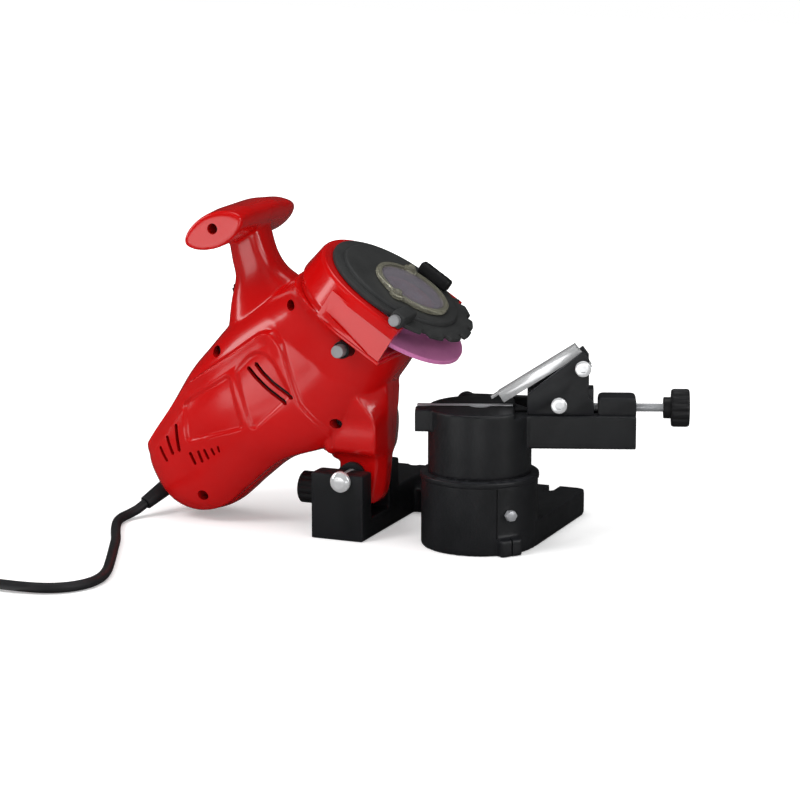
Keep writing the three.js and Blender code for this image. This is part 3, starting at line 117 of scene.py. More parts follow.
VISE = Sizes(
    drum=36.3, seat=52.3, top=98.5, deck=94.5, arm_bottom=71, arm=108.6, half=15, rail=(-45, 24),
    rail_bottom=82.5, channel=(-1.2, 8.8, 88), block=(82, 10, 106.7), spigot=(35.7, 30), tongue=(3.3, 88.2),
    hollow=(30.4, 79.7), bolt_seat=(7.4, 81.6), slide_gap=(0.4, 0.2),
)
CLAMP = Sizes(along=-10, height=92.5, face=37.5, thickness=6, boss=7.2, reach=46, width=9, screw=2.6, jaw=8)
CARRIER = Sizes(
    outer=12, upper=(71.4, 127.8), lower=(55, 101.8), bolt=3, head=5.6, head_height=3.4, socket=2.9,
    socket_depth=1.9,
)
ADJUSTER = Sizes(
    height=98, radius=3, start=70, hub=(7.5, 127.5, 133), knob=13.5, length=12.6, ridges=14, rib=0.08,
    dish=(0.7, 0.64, 0.8, 1.1),
)
SPINDLE = Sizes(hole=11.3, floor_hole=11.4, hole_start=-60, hole_end=-8)
DRUM = Sizes(
    shift=8, radius=64, wall=3.5, back=11, floor=3, shoulder=4, top=16, mouth=50.5, end=22,
    bevel=(3, 5.5), lean=3.5, rim=(5, 2),
)
LIP = Sizes(inset=3, past=1.5, thickness=3)
COVER = Sizes(
    radius=53, teeth=59.5, thickness=3.2, step=46, draft=1, shoulder=1.2, flat=8, rise=2.6, count=6, span=120,
    share=0.7, notch=55.5,
)
WINDOW = Sizes(
    radius=25, rim=28.8, draft=0.4, height=3, pane=1.5, dome=0.9, ledge=22.5, ears=(-90, 120), ear=5, stud=3,
    stud_height=5, stud_tip=(0.55, 6),
)
GRIP_BLOCK = Sizes(length=26, start=34, width=8, height=9, grooves=5, groove=0.8)
PIN = Sizes(radius=3, head=4, length=16, head_height=4, lug=5)
WHEEL_SIZE = Sizes(radius=54, half=1.6, bore=11.15)
LOCK = Sizes(radius=4.5, sleeve=6.2, start=40, end=54, tip=60.5, inner=26, step=44, place=(-6, 24))
SWITCH = Sizes(height=24, width=13, depth=20, rocker=19, rocker_width=9, proud=3, bezel=0.9, dip=1.2)
SCREW = Sizes(
    head=3.6, seat=14, grip_seat=29.4, boss_wall=2.2, side=1, crown=(0.8, 2.3), height=2.9, cross=(2.2, 0.45),
    cross_depth=1.4, cross_turn=0.4,
)
PLUG = Sizes(
    length=40, width=26, height=17, neck=5.25, neck_length=10, ribs=7, groove=0.9, rib=0.8, pin=2,
    pin_length=18, pins=19,
)
RELIEF = Sizes(start=6.5, end=5, length=27)
THREAD = Sizes(pitch=1, depth=0.35, steps=6, sides=32)
# Voxel size and rounds of smoothing of each form that is skinned anew
SKIN = Sizes(housing=(1.15, 10), base=(1.05, 9), vise=(0.95, 7), clamp=(0.55, 6))

# The cord, along the route that its solids follow
CORD_RADIUS = 3.5 * MM
CORD_ROUTE_MM = [
    (-251.4, -23.7, 9.6), (-254.6, -29.6, 6.2), (-257.6, -36.6, 4.2), (-258.9, -45, 3.5),
    (-256.6, -56.5, 3.5), (-251.2, -69.5, 3.5), (-243.4, -85, 3.5), (-234, -102.5, 3.5),
    (-225.4, -121.5, 3.5), (-216.4, -141.5, 3.5), (-207.6, -161.5, 3.5), (-200, -180, 3.5),
    (-195.4, -197.5, 3.5), (-196.2, -213.5, 3.5), (-203.2, -227, 3.6), (-215, -236.2, 3.9),
    (-231, -240.8, 4.3), (-250, -242, 4.6), (-273, -241.5, 4.8), (-300, -241, 4.8),
]
# The point of the route from which the cord lies still
COIL_CENTRE_MM = (-328, -292.75)
COIL_MEAN_RADIUS_MM = 41
COIL_PITCH_MM = 8.6
COIL_LAYER_TURNS = 2.5
COIL_LIFT_MM = 1.3
COIL_STEPS = 24
COIL_TAIL_MM = 30
LAYER_GAP_MM = 0.3


def settle(thing, **settings):
    for key, value in settings.items():
        setattr(thing, key, value)
    return thing


SPECULAR = "Specular IOR Level"
COAT_ROUGHNESS = 0.12
METALLIC = 0.55
PLASTIC_IOR = 1.46
# Between these values of pointiness the colour turns to that of the sharpest edges
EDGES = (0.53, 0.6)
NO_STRETCH = (1, 1, 1)
# Faces that meet at more than this many degrees keep a sharp edge between them
SHARP = 38


def fill(tree, node, inputs):
    """Sets or links a shader node's inputs."""
    for key, value in inputs.items():
        if isinstance(value, bpy.types.NodeSocket):
            tree.links.new(value, node.inputs[key])
        else:
            node.inputs[key].default_value = value


def made_node(tree, kind, inputs, **settings):
    made = settle(tree.nodes.new("ShaderNode" + kind), **settings)
    fill(tree, made, inputs)
    return made


def shader(name, color, roughness, levels):
    material = bpy.data.materials.new(name)
    material.use_nodes = True
    tree = material.node_tree
    surface = tree.nodes["Principled BSDF"]
    base = {"Base Color": (*color, 1), "Roughness": roughness, "Coat Roughness": COAT_ROUGHNESS}
    fill(tree, surface, {**base, **levels})
    return material, tree, surface


def noise(tree, scale, detail=4.0, rough=0.55, stretch=NO_STRETCH):
    """A noise texture in object space; stretch squeezes it along an axis."""
    place = made_node(tree, "TexCoord", {}).outputs["Object"]
    mapped = made_node(tree, "Mapping", {"Vector": place, "Scale": stretch}).outputs["Vector"]
    levels = {"Vector": mapped, "Scale": scale, "Detail": detail, "Roughness": rough}
    return made_node(tree, "TexNoise", levels).outputs["Fac"]


def ramp(tree, source, *stops):
    made = made_node(tree, "ValToRGB", {"Fac": source})
    while len(made.color_ramp.elements) < len(stops):
        made.color_ramp.elements.new(0.5)
    for element, (place, color) in zip(made.color_ramp.elements, stops):
        settle(element, position=place, color=(*color, 1))
    return made.outputs["Color"]


def spread(tree, source, low, high, start=0.0, end=1.0):
    """Maps a source from start to end onto low to high."""
    levels = {"Value": source, "From Min": start, "From Max": end, "To Min": low, "To Max": high}
    return made_node(tree, "MapRange", levels).outputs["Result"]


def bump(tree, source, strength, depth):
    levels = {"Height": source, "Strength": strength, "Distance": depth}
    return made_node(tree, "Bump", levels).outputs["Normal"]


def mixed(tree, factor, a, b, blend="MIX"):
    made = made_node(tree, "Mix", {}, data_type="RGBA", blend_type=blend)
    fill(tree, made, {"Factor": factor, "A": a, "B": b})
    return made.outputs["Result"]


def finish(name, color, roughness, tints, rough, relief, levels, stretch=NO_STRETCH, edges=None):
    """A material whose tint, roughness and relief each follow a noise of their own.

    tints: scale and two stops. rough: scale, lowest, highest. relief: scale, detail, strength, depth.
    edges: the colour of the sharpest edges.
    """
    material, tree, surface = shader(name, color, roughness, levels)
    scale, *stops = tints
    shade = ramp(tree, noise(tree, scale, stretch=stretch), *stops)
    if edges:
        pointed = made_node(tree, "NewGeometry", {}).outputs["Pointiness"]
        shade = mixed(tree, spread(tree, pointed, 0, 1, *EDGES), shade, (*edges, 1))
    scale, lowest, highest = rough
    uneven = spread(tree, noise(tree, scale, stretch=stretch), lowest, highest)
    scale, detail, strength, depth = relief
    normal = bump(tree, noise(tree, scale, detail, stretch=stretch), strength, depth)
    fill(tree, surface, {"Base Color": shade, "Roughness": uneven, "Normal": normal})
    return material


def scaled(color, share):
    return tuple(value * share for value in color)


def metal(name, color, roughness, stretch=NO_STRETCH, relief=0.04):
    tints = (90, (0.3, scaled(color, 0.82)), (0.65, color))
    rough = (260, roughness * 0.75, roughness * 1.3)
    levels = {"Metallic": METALLIC}
    return finish(name, color, roughness, tints, rough, (700, 3, relief, 0.0001), levels, stretch)


def smoky(name, color, roughness, through):
    tints = (35, (0.3, scaled(color, 0.85)), (0.7, color))
    rough = (90, roughness * 0.7, roughness * 1.5)
    levels = {"Transmission Weight": through, "IOR": PLASTIC_IOR}
    return finish(name, color, roughness, tints, rough, (300, 2, 0.08, 0.0002), levels)


def abrasive():
    material, tree, surface = shader("abrasive", (0.45, 0.11, 0.36), 0.9, {SPECULAR: 0.2})
    grit = noise(tree, 2400, 3, 0.7)
    stops = (0.32, (0.36, 0.09, 0.24)), (0.52, (0.55, 0.165, 0.37)), (0.7, (0.72, 0.32, 0.52))
    fine = ramp(tree, grit, *stops)
    cloud = ramp(tree, noise(tree, 45, 3), (0.35, (0.84, 0.84, 0.84)), (0.7, (1, 1, 1)))
    normal = bump(tree, grit, 0.6, 0.0003)
    fill(tree, surface, {"Base Color": mixed(tree, 1, fine, cloud, "MULTIPLY"), "Normal": normal})
    return material


# What finish, metal and smoky take for each look after its name
FINISHES = {
    "red_plastic": (
        (0.44, 0.003, 0.003), 0.2, (22, (0.3, (0.41, 0.002, 0.002)), (0.7, (0.46, 0.003, 0.003))),
        (180, 0.17, 0.23), (1300, 2, 0.05, 0.0001), {"Coat Weight": 0.35},
    ),
    "black_casting": (
        (0.007, 0.0075, 0.009), 0.42, (40, (0.3, (0.005, 0.0055, 0.0065)), (0.75, (0.009, 0.0095, 0.011))),
        (130, 0.34, 0.5), (1100, 5, 0.3, 0.00025), {}, NO_STRETCH, (0.022, 0.023, 0.026),
    ),
    "black_plastic": (
        (0.012, 0.012, 0.013), 0.45, (50, (0.3, (0.006, 0.006, 0.0065)), (0.7, (0.01, 0.01, 0.011))),
        (160, 0.38, 0.5), (1600, 3, 0.2, 0.00012), {SPECULAR: 0.35},
    ),
    "guard_plastic": (
        (0.026, 0.027, 0.027), 0.55, (60, (0.3, (0.022, 0.023, 0.023)), (0.7, (0.03, 0.031, 0.031))),
        (140, 0.46, 0.62), (1400, 4, 0.25, 0.00015), {SPECULAR: 0.3},
    ),
    "cord_rubber": (
        (0.012, 0.012, 0.013), 0.5, (60, (0.3, (0.010, 0.010, 0.011)), (0.7, (0.016, 0.016, 0.017))),
        (200, 0.42, 0.6), (1500, 3, 0.2, 0.0001), {SPECULAR: 0.3},
    ),
}
METALS = {
    "chrome": ((0.88, 0.89, 0.9), 0.14),
    "steel": ((0.5, 0.51, 0.53), 0.32, (1, 1, 6), 0.1),
    "dull_steel": ((0.3, 0.3, 0.31), 0.45),
    "dark_steel": ((0.06, 0.06, 0.065), 0.5, (1, 1, 9), 0.2),
    "copper": ((0.62, 0.3, 0.16), 0.35),
    "brass": ((0.7, 0.52, 0.24), 0.3),
}
SMOKY = {
    "clear_plastic": ((0.5, 0.46, 0.52), 0.07, 0.85),
    "frame_plastic": ((0.34, 0.33, 0.26), 0.12, 0.7),
}
LOOKS = {"abrasive": abrasive()}
for make, rows in ((finish, FINISHES), (metal, METALS), (smoky, SMOKY)):
    LOOKS.update({name: make(name, *row) for name, row in rows.items()})


def placed(name, data):
    made = bpy.data.objects.new(name, data)
    bpy.context.scene.collection.objects.link(made)
    return made


def add(name, bm, place=HERE):
    """An object from a bmesh built in millimetres in the frame that place gives."""
    mesh = bpy.data.meshes.new(name)
    bmesh.ops.recalc_face_normals(bm, faces=bm.faces)
    bm.to_mesh(mesh)
    bm.free()
    mesh.transform(place @ Matrix.Scale(MM, 4))
    return placed(name, mesh)


def modify(piece, kind, **settings):
    settle(piece.modifiers.new(kind, kind), **settings)


def bake(piece):
    """Applies the piece's modifiers to its mesh."""
    graph = bpy.context.evaluated_depsgraph_get()
    mesh = bpy.data.meshes.new_from_object(piece.evaluated_get(graph))
    old = piece.data
    piece.modifiers.clear()
    piece.data = mesh
    bpy.data.meshes.remove(old)
    return piece


def combine(piece, other, operation="UNION"):
    """Joins, cuts or intersects piece with other, which is used up."""
    modify(piece, "BOOLEAN", operation=operation, solver="MANIFOLD", object=other)
    bake(piece)
    bpy.data.objects.remove(other)
    return piece


def joined(pieces):
    first, *rest = pieces
    for piece in rest:
        combine(first, piece)
    return first


def cut(piece, *cutters):
    return combine(piece, joined(cutters), "DIFFERENCE")


def merged(*pieces):
    """The pieces' meshes in one object, overlapping as they are."""
    bm = bmesh.new()
    for piece in pieces:
        bm.from_mesh(piece.data)
        bpy.data.objects.remove(piece)
    mesh = bpy.data.meshes.new("merged")
    bm.to_mesh(mesh)
    bm.free()
    return placed("merged", mesh)


def remeshed(piece, voxel, rounds):
    """One even skin over everything joined in piece, with its edges and inner corners softened."""
    modify(piece, "REMESH", mode="VOXEL", voxel_size=voxel * MM)
    modify(piece, "SMOOTH", factor=0.5, iterations=rounds)
    return bake(piece)


def soften(piece, width, segments=2, angle=32):
    """Rounds the piece's edges."""
    modify(piece, "DECIMATE", decimate_type="DISSOLVE", angle_limit=radians(1))
    edges = {"limit_method": "ANGLE", "angle_limit": radians(angle)}
    modify(piece, "BEVEL", width=width * MM, segments=segments, **edges)
    return bake(piece)


def smooth(piece, angle):
    piece.data.shade_smooth()
    piece.data.set_sharp_from_angle(angle=radians(angle))


def trim(piece, name, body, look):
    """Finishes a piece: its name, its material, and the body that it moves with."""
    piece.name = name
    piece.data.name = name
    piece.data.materials.clear()
    piece.data.materials.append(LOOKS[look])
    smooth(piece, SHARP)
    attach(piece, body)
    return piece


def stand_in(piece, node, look=None):
    """Finishes a piece that stands for a node."""
    trim(piece, node + "_fine", BODY_OF[node], look or SLOT_OF[node])
    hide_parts(node)
    return piece


def softened(node, width, segments=2):
    """Finishes a piece that is the node's own mesh, welded, with its edges rounded."""
    made = placed(node + "_copy", nodes[node].data.copy())
    bm = bmesh.new()
    bm.from_mesh(made.data)
    bmesh.ops.remove_doubles(bm, verts=bm.verts, dist=1e-6)
    bm.to_mesh(made.data)
    bm.free()
    return stand_in(soften(made, width, segments), node)


def at(axis, a=0, b=0):
    """The frame of a piece that lies along an axis, a and b millimetres off it on the other two."""
    if axis == "x":
        return moved(0, a, b) @ spin(pi / 2, "Y")
    if axis == "y":
        return moved(a, 0, b) @ spin(-pi / 2, "X")
    return moved(a, b, 0)


def around(sides):
    """The cosine and sine at even steps round a circle."""
    angles = [2 * pi * i / sides for i in range(sides)]
    return [(cos(angle), sin(angle)) for angle in angles]


def lathe(profile, turns):
    """A turned solid about Z from (radius, height) points, a ring unless they start on the axis."""
    bm = bmesh.new()
    rings = []
    for radius, height in profile:
        if radius < 1e-6:
            rings.append([bm.verts.new((0, 0, height))])
        else:
            rings.append([bm.verts.new((radius * x, radius * y, height)) for x, y in around(turns)])
    pairs = list(zip(rings, rings[1:]))
    if len(rings[0]) > 1:
        pairs.append((rings[-1], rings[0]))
    for a, b in pairs:
        for i in range(turns):
            j = (i + 1) % turns
            corners = [a[i % len(a)], a[j % len(a)], b[j % len(b)], b[i % len(b)]]
            corners = list(dict.fromkeys(corners))
            if len(corners) > 2:
                bm.faces.new(corners)
    return bm


def rounded(points, radii, steps=4, closed=True):
    """Rounds an outline's corners, by one radius or one for each corner."""
    made = []
    for i, point in enumerate(points):
        radius = radii[i] if isinstance(radii, (list, tuple)) else radii
        if radius == 0 or (not closed and i in (0, len(points) - 1)):
            made.append(tuple(point))
            continue
        corner = Vector(point)
        before = Vector(points[i - 1]) - corner
        after = Vector(points[(i + 1) % len(points)]) - corner
        start = corner + before.normalized() * min(radius, before.length * 0.49)
        end = corner + after.normalized() * min(radius, after.length * 0.49)
        for k in range(steps + 1):
            t = k / steps
            made.append(tuple(start * (1 - t) ** 2 + corner * 2 * t * (1 - t) + end * t**2))
    return made


def stepped(*spans, inner=0):
    """The profile of a round piece in steps, each with its radius, start and end."""
    points = [point for radius, start, end in spans for point in ((radius, start), (radius, end))]
    return [(inner, spans[0][1]), *points, (inner, spans[-1][2])]


def turned(profile, place, rounding=0.4, turns=96):
    """A turned solid whose profile starts and ends on the axis, its corners rounded."""
    return add("turned", lathe(rounded(profile, rounding, 3, closed=False), turns), place)


def ring_of(profile, place, rounding=0.4, turns=96):
    """A turned ring, its corners rounded."""
    return add("ring", lathe(rounded(profile, rounding, 3), turns), place)


def bar(axis, radius, start, end, a=0, b=0, place=HERE, rounding=0, turns=48):
    """A round bar along an axis, a and b millimetres off it."""
    return turned(stepped((radius, start, end)), place @ at(axis, a, b), rounding, turns)


def skin(rings):
    """A closed skin over rings of points, capped at both ends."""
    bm = bmesh.new()
    made = [[bm.verts.new(p) for p in ring] for ring in rings]
    for a, b in zip(made, made[1:]):
        for i in range(len(a)):
            j = (i + 1) % len(a)
            bm.faces.new((a[i], a[j], b[j], b[i]))
    bm.faces.new(made[0])
    bm.faces.new(made[-1])
    return bm


def slab(low, high, place=HERE):
    bm = bmesh.new()
    bmesh.ops.create_cube(bm, size=1)
    size = Vector(high) - Vector(low)
    for vertex in bm.verts:
        vertex.co = Vector(low) + Vector([s * (c + 0.5) for s, c in zip(size, vertex.co)])
    return add("slab", bm, place)


def prism(points, low, high, place=HERE):
    """An outline in X and Y, pushed up from low to high."""
    return add("prism", skin([[(x, y, z) for x, y in points] for z in (low, high)]), place)


def side_prism(points, near, far, place=HERE):
    """An outline in X and Z, pushed along Y."""
    return add("prism", skin([[(x, y, z) for x, z in points] for y in (near, far)]), place)


def threaded(radius, start, end, place):
    """A threaded rod about Z."""
    rings = []
    steps, sides = THREAD.steps, THREAD.sides
    count = round((end - start) / THREAD.pitch * steps)
    for i in range(count + 1):
        fade = min(i, count - i, steps) / steps
        ring = []
        for k, (x, y) in enumerate(around(sides)):
            wave = abs((i / steps - k / sides) % 1 - 0.5) * 2
            here = radius - THREAD.depth * (wave * fade + 1 - fade)
            ring.append((here * x, here * y, start + i * THREAD.pitch / steps))
        rings.append(ring)
    return add("thread", skin(rings), place)


def ribbed(radius, start, end, ridges, depth, place, edge=1.6):
    """A round knob with ribs along its side, about Z."""
    rows = [(0, 0.9, 0), (0.25, 0.955, 0.3), (0.6, 0.985, 0.75), (1, 1, 1)]
    length = end - start
    places = [(start + share * edge, grow, rib) for share, grow, rib in rows]
    places += [(start + length - share * edge, grow, rib) for share, grow, rib in reversed(rows)]
    sides = ridges * 12
    rings = []
    for height, grow, rib in places:
        ring = []
        for k in range(sides):
            angle = 2 * pi * k / sides
            valley = (0.5 - 0.5 * cos(ridges * angle)) ** 2
            here = radius * grow - depth * valley * rib
            ring.append((here * cos(angle), here * sin(angle), height))
        rings.append(ring)
    return add("knob", skin(rings), place)


def dished(face, inward, radius, shares, place):
    """A cutter for the hollow in a knob's face; inward is 1 or -1 along Z."""
    wide, narrow, edge, deep = shares
    past = face - inward
    profile = [(0, past), (radius * wide, past), (radius * narrow, face + inward * edge)]
    return turned([*profile, (0, face + inward * deep)], place, 0.3)


def squared(angle, squareness):
    """The cosine and sine of an angle on a circle that is squared off."""
    values = cos(angle), sin(angle)
    return [copysign(abs(value) ** (2 / squareness), value) for value in values]


def blended(rows, steps):
    """Rows between the given rows, on a Catmull-Rom curve through them."""
    first = [2 * a - b for a, b in zip(rows[0], rows[1])]
    last = [2 * a - b for a, b in zip(rows[-1], rows[-2])]
    full = [first, *rows, last]
    made = []
    for near in zip(full, full[1:], full[2:], full[3:]):
        for i in range(steps):
            t = i / steps
            row = []
            for p, q, r, s in zip(*near):
                curve = 2 * q + (r - p) * t + (2 * p - 5 * q + 4 * r - s) * t**2
                row.append((curve + (3 * q - p - 3 * r + s) * t**3) / 2)
            made.append(row)
    return [*made, list(rows[-1])]


# The head's housing
SPAN = 100
SQUARENESS = 2.5
NECK_SQUARENESS = 3
HOUSING_WALL = 3
GRIP = Sizes(length=98, chord=24.5, thickness=12.4, tilt=radians(25), squareness=1.75, drop=2.6, crest=-0.1)
# Behind the wheel's middle, half depth and growth of the sections that end the barrel, outside and hollow
NOSE = Sizes(near=(24.5, 46, 3), hollow=(20, 44.8), end=57.6)
# Places along the grip, and how much of its full section it has there
GRIP_SHARES = [
    (-0.5, 0.94), (-0.493, 0.985), (-0.47, 1), (-0.3, 1.03), (0.1, 1.06), (0.35, 1), (0.46, 0.9), (0.49, 0.8),
    (0.5, 0.66),
]
SCREW_SHARES = {
    "drum": (-0.36, 1.24),
    "neck": (-1.0, 0.84),
    "tail": (-1.1, -0.21),
    "foot": (-0.08, 0.39),
    "grip": (-0.91, 1.76),
}
# Each section's upper left end, its lower right end and its half depth, as shares of the span from the hinge
BARREL_SHARES = [
    (-1.605, 0.01, -1.49, -0.23, 0.13),
    (-1.59, 0.12, -1.33, -0.34, 0.25),
    (-1.53, 0.26, -1.15, -0.37, 0.31),
    (-1.41, 0.45, -0.96, -0.305, 0.34),
    (-1.27, 0.675, -0.75, -0.12, 0.36),
    (-1.13, 0.84, -0.51, 0.065, 0.37),
    (-0.94, 1.05, -0.12, 0.22, 0.37),
    (-0.69, 1.22, 0.17, 0.56, 0.39),
]
NECK_SHARES = [
    (-0.99, 0.97, -0.39, 1.22, 0.22),
    (-0.975, 1.17, -0.475, 1.356, 0.17),
    (-0.94, 1.35, -0.59, 1.44, 0.15),
    (-0.96, 1.47, -0.67, 1.56, 0.15),
    (-0.99, 1.67, -0.73, 1.75, 0.16),
]
# At each height of the foot: its left edge, its front face's two edges, its right edge, and their half depths
FOOT_SHARES = [
    (-0.21, -0.07, -0.05, 0.1, 0.14, 0.119, 0.06),
    (-0.13, -0.09, -0.07, 0.14, 0.2, 0.119, 0.05),
    (0.05, -0.12, -0.1, 0.175, 0.225, 0.12, 0.05),
    (0.14, -0.2, -0.12, 0.185, 0.23, 0.14, 0.05),
    (0.2, -0.28, -0.15, 0.2, 0.24, 0.21, 0.06),
    (0.4, -0.36, -0.2, 0.205, 0.25, 0.225, 0.08),
    (0.5, -0.33, -0.2, 0.15, 0.255, 0.25, 0.1),
    (0.64, -0.3, -0.2, 0.06, 0.255, 0.28, 0.12),
    (0.8, -0.2, -0.1, 0.04, 0.24, 0.28, 0.13),
]
# The raised shield's outline, which runs off the housing's lower edge, and the panels sunk in it
SHIELD_SHARES = [
    (-1.56, 0.12), (-1.2, 0.6), (-0.87, 0.83), (-0.62, 1.01), (-0.52, 1.04), (-0.43, 0.96), (-0.36, 0.72),
    (-0.3, 0.53), (-0.2, 0.41), (-0.12, 0.32), (-0.13, 0.1), (-0.4, -0.5), (-1.8, -0.6), (-1.8, 0.1),
]
PANEL_SHARES = [
    [(-0.8, 0.74), (-0.68, 0.86), (-0.58, 0.89), (-0.49, 0.83), (-0.36, 0.6), (-0.67, 0.32)],
    [(-1.22, 0.46), (-0.85, 0.7), (-0.74, 0.33), (-1.19, 0.19)],
]
# Each slot's line, and its width in millimetres
SLOT_SHARES = [
    ([(-0.7, 0.765), (-0.64, 0.705), (-0.55, 0.63), (-0.405, 0.535)], 3.3),
    ([(-0.64, 0.8), (-0.585, 0.74), (-0.5, 0.67), (-0.355, 0.58)], 3.3),
    ([(-1.294, 0.296), (-1.278, 0.2), (-1.26, 0.113)], 2.8),
    ([(-1.373, 0.201), (-1.345, 0.14), (-1.315, 0.084)], 2.6),
    ([(-1.433, 0.115), (-1.4, 0.065), (-1.37, 0.025)], 2.4),
    ([(-1.168, 0.108), (-1.129, 0.031)], 2.4),
    ([(-1.101, 0.126), (-1.071, 0.052)], 2.2),
    ([(-1.052, 0.143), (-1.021, 0.079)], 2),
    ([(-0.994, 0.156), (-0.973, 0.113)], 1.8),
    ([(-0.944, 0.176), (-0.933, 0.138)], 1.6),
]
SLOT_REACH = 70
OVAL_SIDES = 72
RIM = Sizes(toward=(-0.577, 0.817), width=9, steepest=0.75)
RAISE = Sizes(shield=2.4, panel=-1.5, shield_slope=4.6, panel_slope=2.2, corner=4, facing=(0.4, 0.3))


def head_point(share_x, share_z):
    return HINGE_X + share_x * SPAN, HINGE_Z + share_z * SPAN


def spindle_point(across, behind):
    place = IN_SPINDLE @ (Vector((across, 0, -behind)) * MM)
    return place.x / MM, place.z / MM


def oval(station, inset, squareness=SQUARENESS):
    """A rounded section between two ends in the XZ plane, drawn in by inset."""
    x0, z0, x1, z1, half = station
    middle = Vector(((x0 + x1) / 2, 0, (z0 + z1) / 2))
    reach = Vector(((x1 - x0) / 2, 0, (z1 - z0) / 2))
    reach *= max(reach.length - inset, 1) / reach.length
    ring = []
    for i in range(OVAL_SIDES):
        along, deep = squared((i + 0.5) / OVAL_SIDES * 2 * pi, squareness)
        place = middle + reach * along
        place.y = deep * max(half - inset, 1)
        ring.append(place)
    return ring


def stations(shares, steps):
    rows = [(*head_point(ax, az), *head_point(bx, bz), half * SPAN) for ax, az, bx, bz, half in shares]
    return blended(rows, steps)


def nose(behind, half, grow=-1):
    reach = DRUM.shift + DRUM.radius + grow
    return [*spindle_point(-reach, behind), *spindle_point(DRUM.end + grow, behind), half]


def barrel(inset):
    rows = stations(BARREL_SHARES, 6)
    if inset:
        rows = [*rows[6:], nose(*NOSE.near), nose(*NOSE.hollow)]
    else:
        rows += blended([rows[-1], nose(*NOSE.near), nose(DRUM.back + GAP, NOSE.end)], 5)[1:]
    return add("barrel", skin([oval(row, inset) for row in rows]))


def neck(inset):
    return add("neck", skin([oval(row, inset, NECK_SQUARENESS) for row in stations(NECK_SHARES, 6)]))


def grip(inset):
    x, z = head_point(*SCREW_SHARES["grip"])
    rings = []
    for place, share in GRIP_SHARES[2:-2] if inset else GRIP_SHARES:
        ring = []
        for i in range(OVAL_SIDES):
            across, thick = squared(i / OVAL_SIDES * 2 * pi, GRIP.squareness)
            across, thick = across * (GRIP.chord * share - inset), thick * (GRIP.thickness * share - inset)
            leant = Matrix.Rotation(-GRIP.tilt, 3, "Y") @ Vector((across, 0, thick))
            sag = 4 * GRIP.drop * (place - GRIP.crest) ** 2
            ring.append((x + leant.x, place * GRIP.length, z + leant.z - sag))
        rings.append(ring)
    return add("grip", skin(rings))


def foot():
    rings = []
    for height, left, near, far, right, deep, edge in blended(FOOT_SHARES, 4):
        z = head_point(0, height)[1]
        half = [(left, edge), (near, deep), (far, deep), (right, edge)]
        half = [(head_point(share, 0)[0], depth * SPAN) for share, depth in half]
        rings.append([(x, -y, z) for x, y in half] + [(x, y, z) for x, y in reversed(half)])
    return add("foot", skin(rings))


def inside_by(points, xs, zs):
    """How far each place lies inside a closed outline, negative outside."""
    inside = np.zeros(len(xs), bool)
    nearest = np.full(len(xs), np.inf)
    for (ax, az), (bx, bz) in zip(points, points[1:] + points[:1]):
        crosses = (az > zs) != (bz > zs)
        slope = (bx - ax) / (bz - az) if bz != az else 0
        inside ^= crosses & (xs < slope * (zs - az) + ax)
        length = (bx - ax) ** 2 + (bz - az) ** 2
        t = np.clip(((xs - ax) * (bx - ax) + (zs - az) * (bz - az)) / length, 0, 1)
        nearest = np.minimum(nearest, np.hypot(xs - ax - t * (bx - ax), zs - az - t * (bz - az)))
    return np.where(inside, nearest, -nearest)


def eased(values, width):
    t = np.clip(values / width + 0.5, 0, 1)
    return t * t * (3 - 2 * t)


def vertex_array(piece, key):
    values = np.empty(len(piece.data.vertices) * 3)
    piece.data.vertices.foreach_get(key, values)
    return values.reshape(-1, 3)


def emboss(piece):
    """On both sides: raises the shield, with a slope along its upper rim, and sinks its panels."""
    places, normals = vertex_array(piece, "co"), vertex_array(piece, "normal")
    xs, zs = places[:, 0] / MM, places[:, 2] / MM

    def depth_in(shares):
        return inside_by(rounded([head_point(*share) for share in shares], RAISE.corner), xs, zs)

    depth = depth_in(SHIELD_SHARES)
    rise = RAISE.shield * eased(depth, RAISE.shield_slope)
    for shares in PANEL_SHARES:
        rise += RAISE.panel * eased(depth_in(shares), RAISE.panel_slope)
    sideways = np.abs(normals[:, 1])
    least, over = RAISE.facing
    facing = eased(sideways - least, over)
    lean = (normals[:, 0] * RIM.toward[0] + normals[:, 2] * RIM.toward[1]) / np.maximum(sideways, 0.5)
    flat = np.clip(RIM.width - depth, 0, RIM.width) * np.clip(lean, 0, RIM.steepest) * eased(depth, 2)
    places += normals * (rise * facing * MM)[:, None]
    places[:, 1] += np.sign(normals[:, 1]) * flat * facing * MM
    piece.data.vertices.foreach_set("co", places.ravel())
    piece.data.update()


def slot_cutter(points, width):
    """A slot's cutter along a line of points, with round ends."""
    points = [Vector(point) for point in points]
    left, right = [], []
    for i, point in enumerate(points):
        heading = points[min(i + 1, len(points) - 1)] - points[max(i - 1, 0)]
        side = Vector((-heading.y, heading.x)).normalized() * width / 2
        left.append(point + side)
        right.append(point - side)
    far = points[-1] + (points[-1] - points[-2]).normalized() * width * 0.4
    near = points[0] + (points[0] - points[1]).normalized() * width * 0.4
    return side_prism([*left, far, *reversed(right), near], -SLOT_REACH, SLOT_REACH)


def half_round(radius, turns=96):
    """Half a circle about the drum's middle, from its front round the left to the rear."""
    angles = [-pi / 2 - pi * i / turns for i in range(turns + 1)]
    return [(-DRUM.shift + radius * cos(angle), radius * sin(angle)) for angle in angles]


def d_outline(radius, end):
    """Half a circle about the drum's middle with two straight sides."""
    return [(end, -radius), *half_round(radius), (end, radius)]


def lip():
    """The flange between the barrel and the drum."""
    back = -DRUM.back - GAP
    outline = d_outline(DRUM.radius - LIP.inset, DRUM.end + LIP.past)
    return soften(prism(outline, back - LIP.thickness, back, IN_SPINDLE), 1, 3, 50)


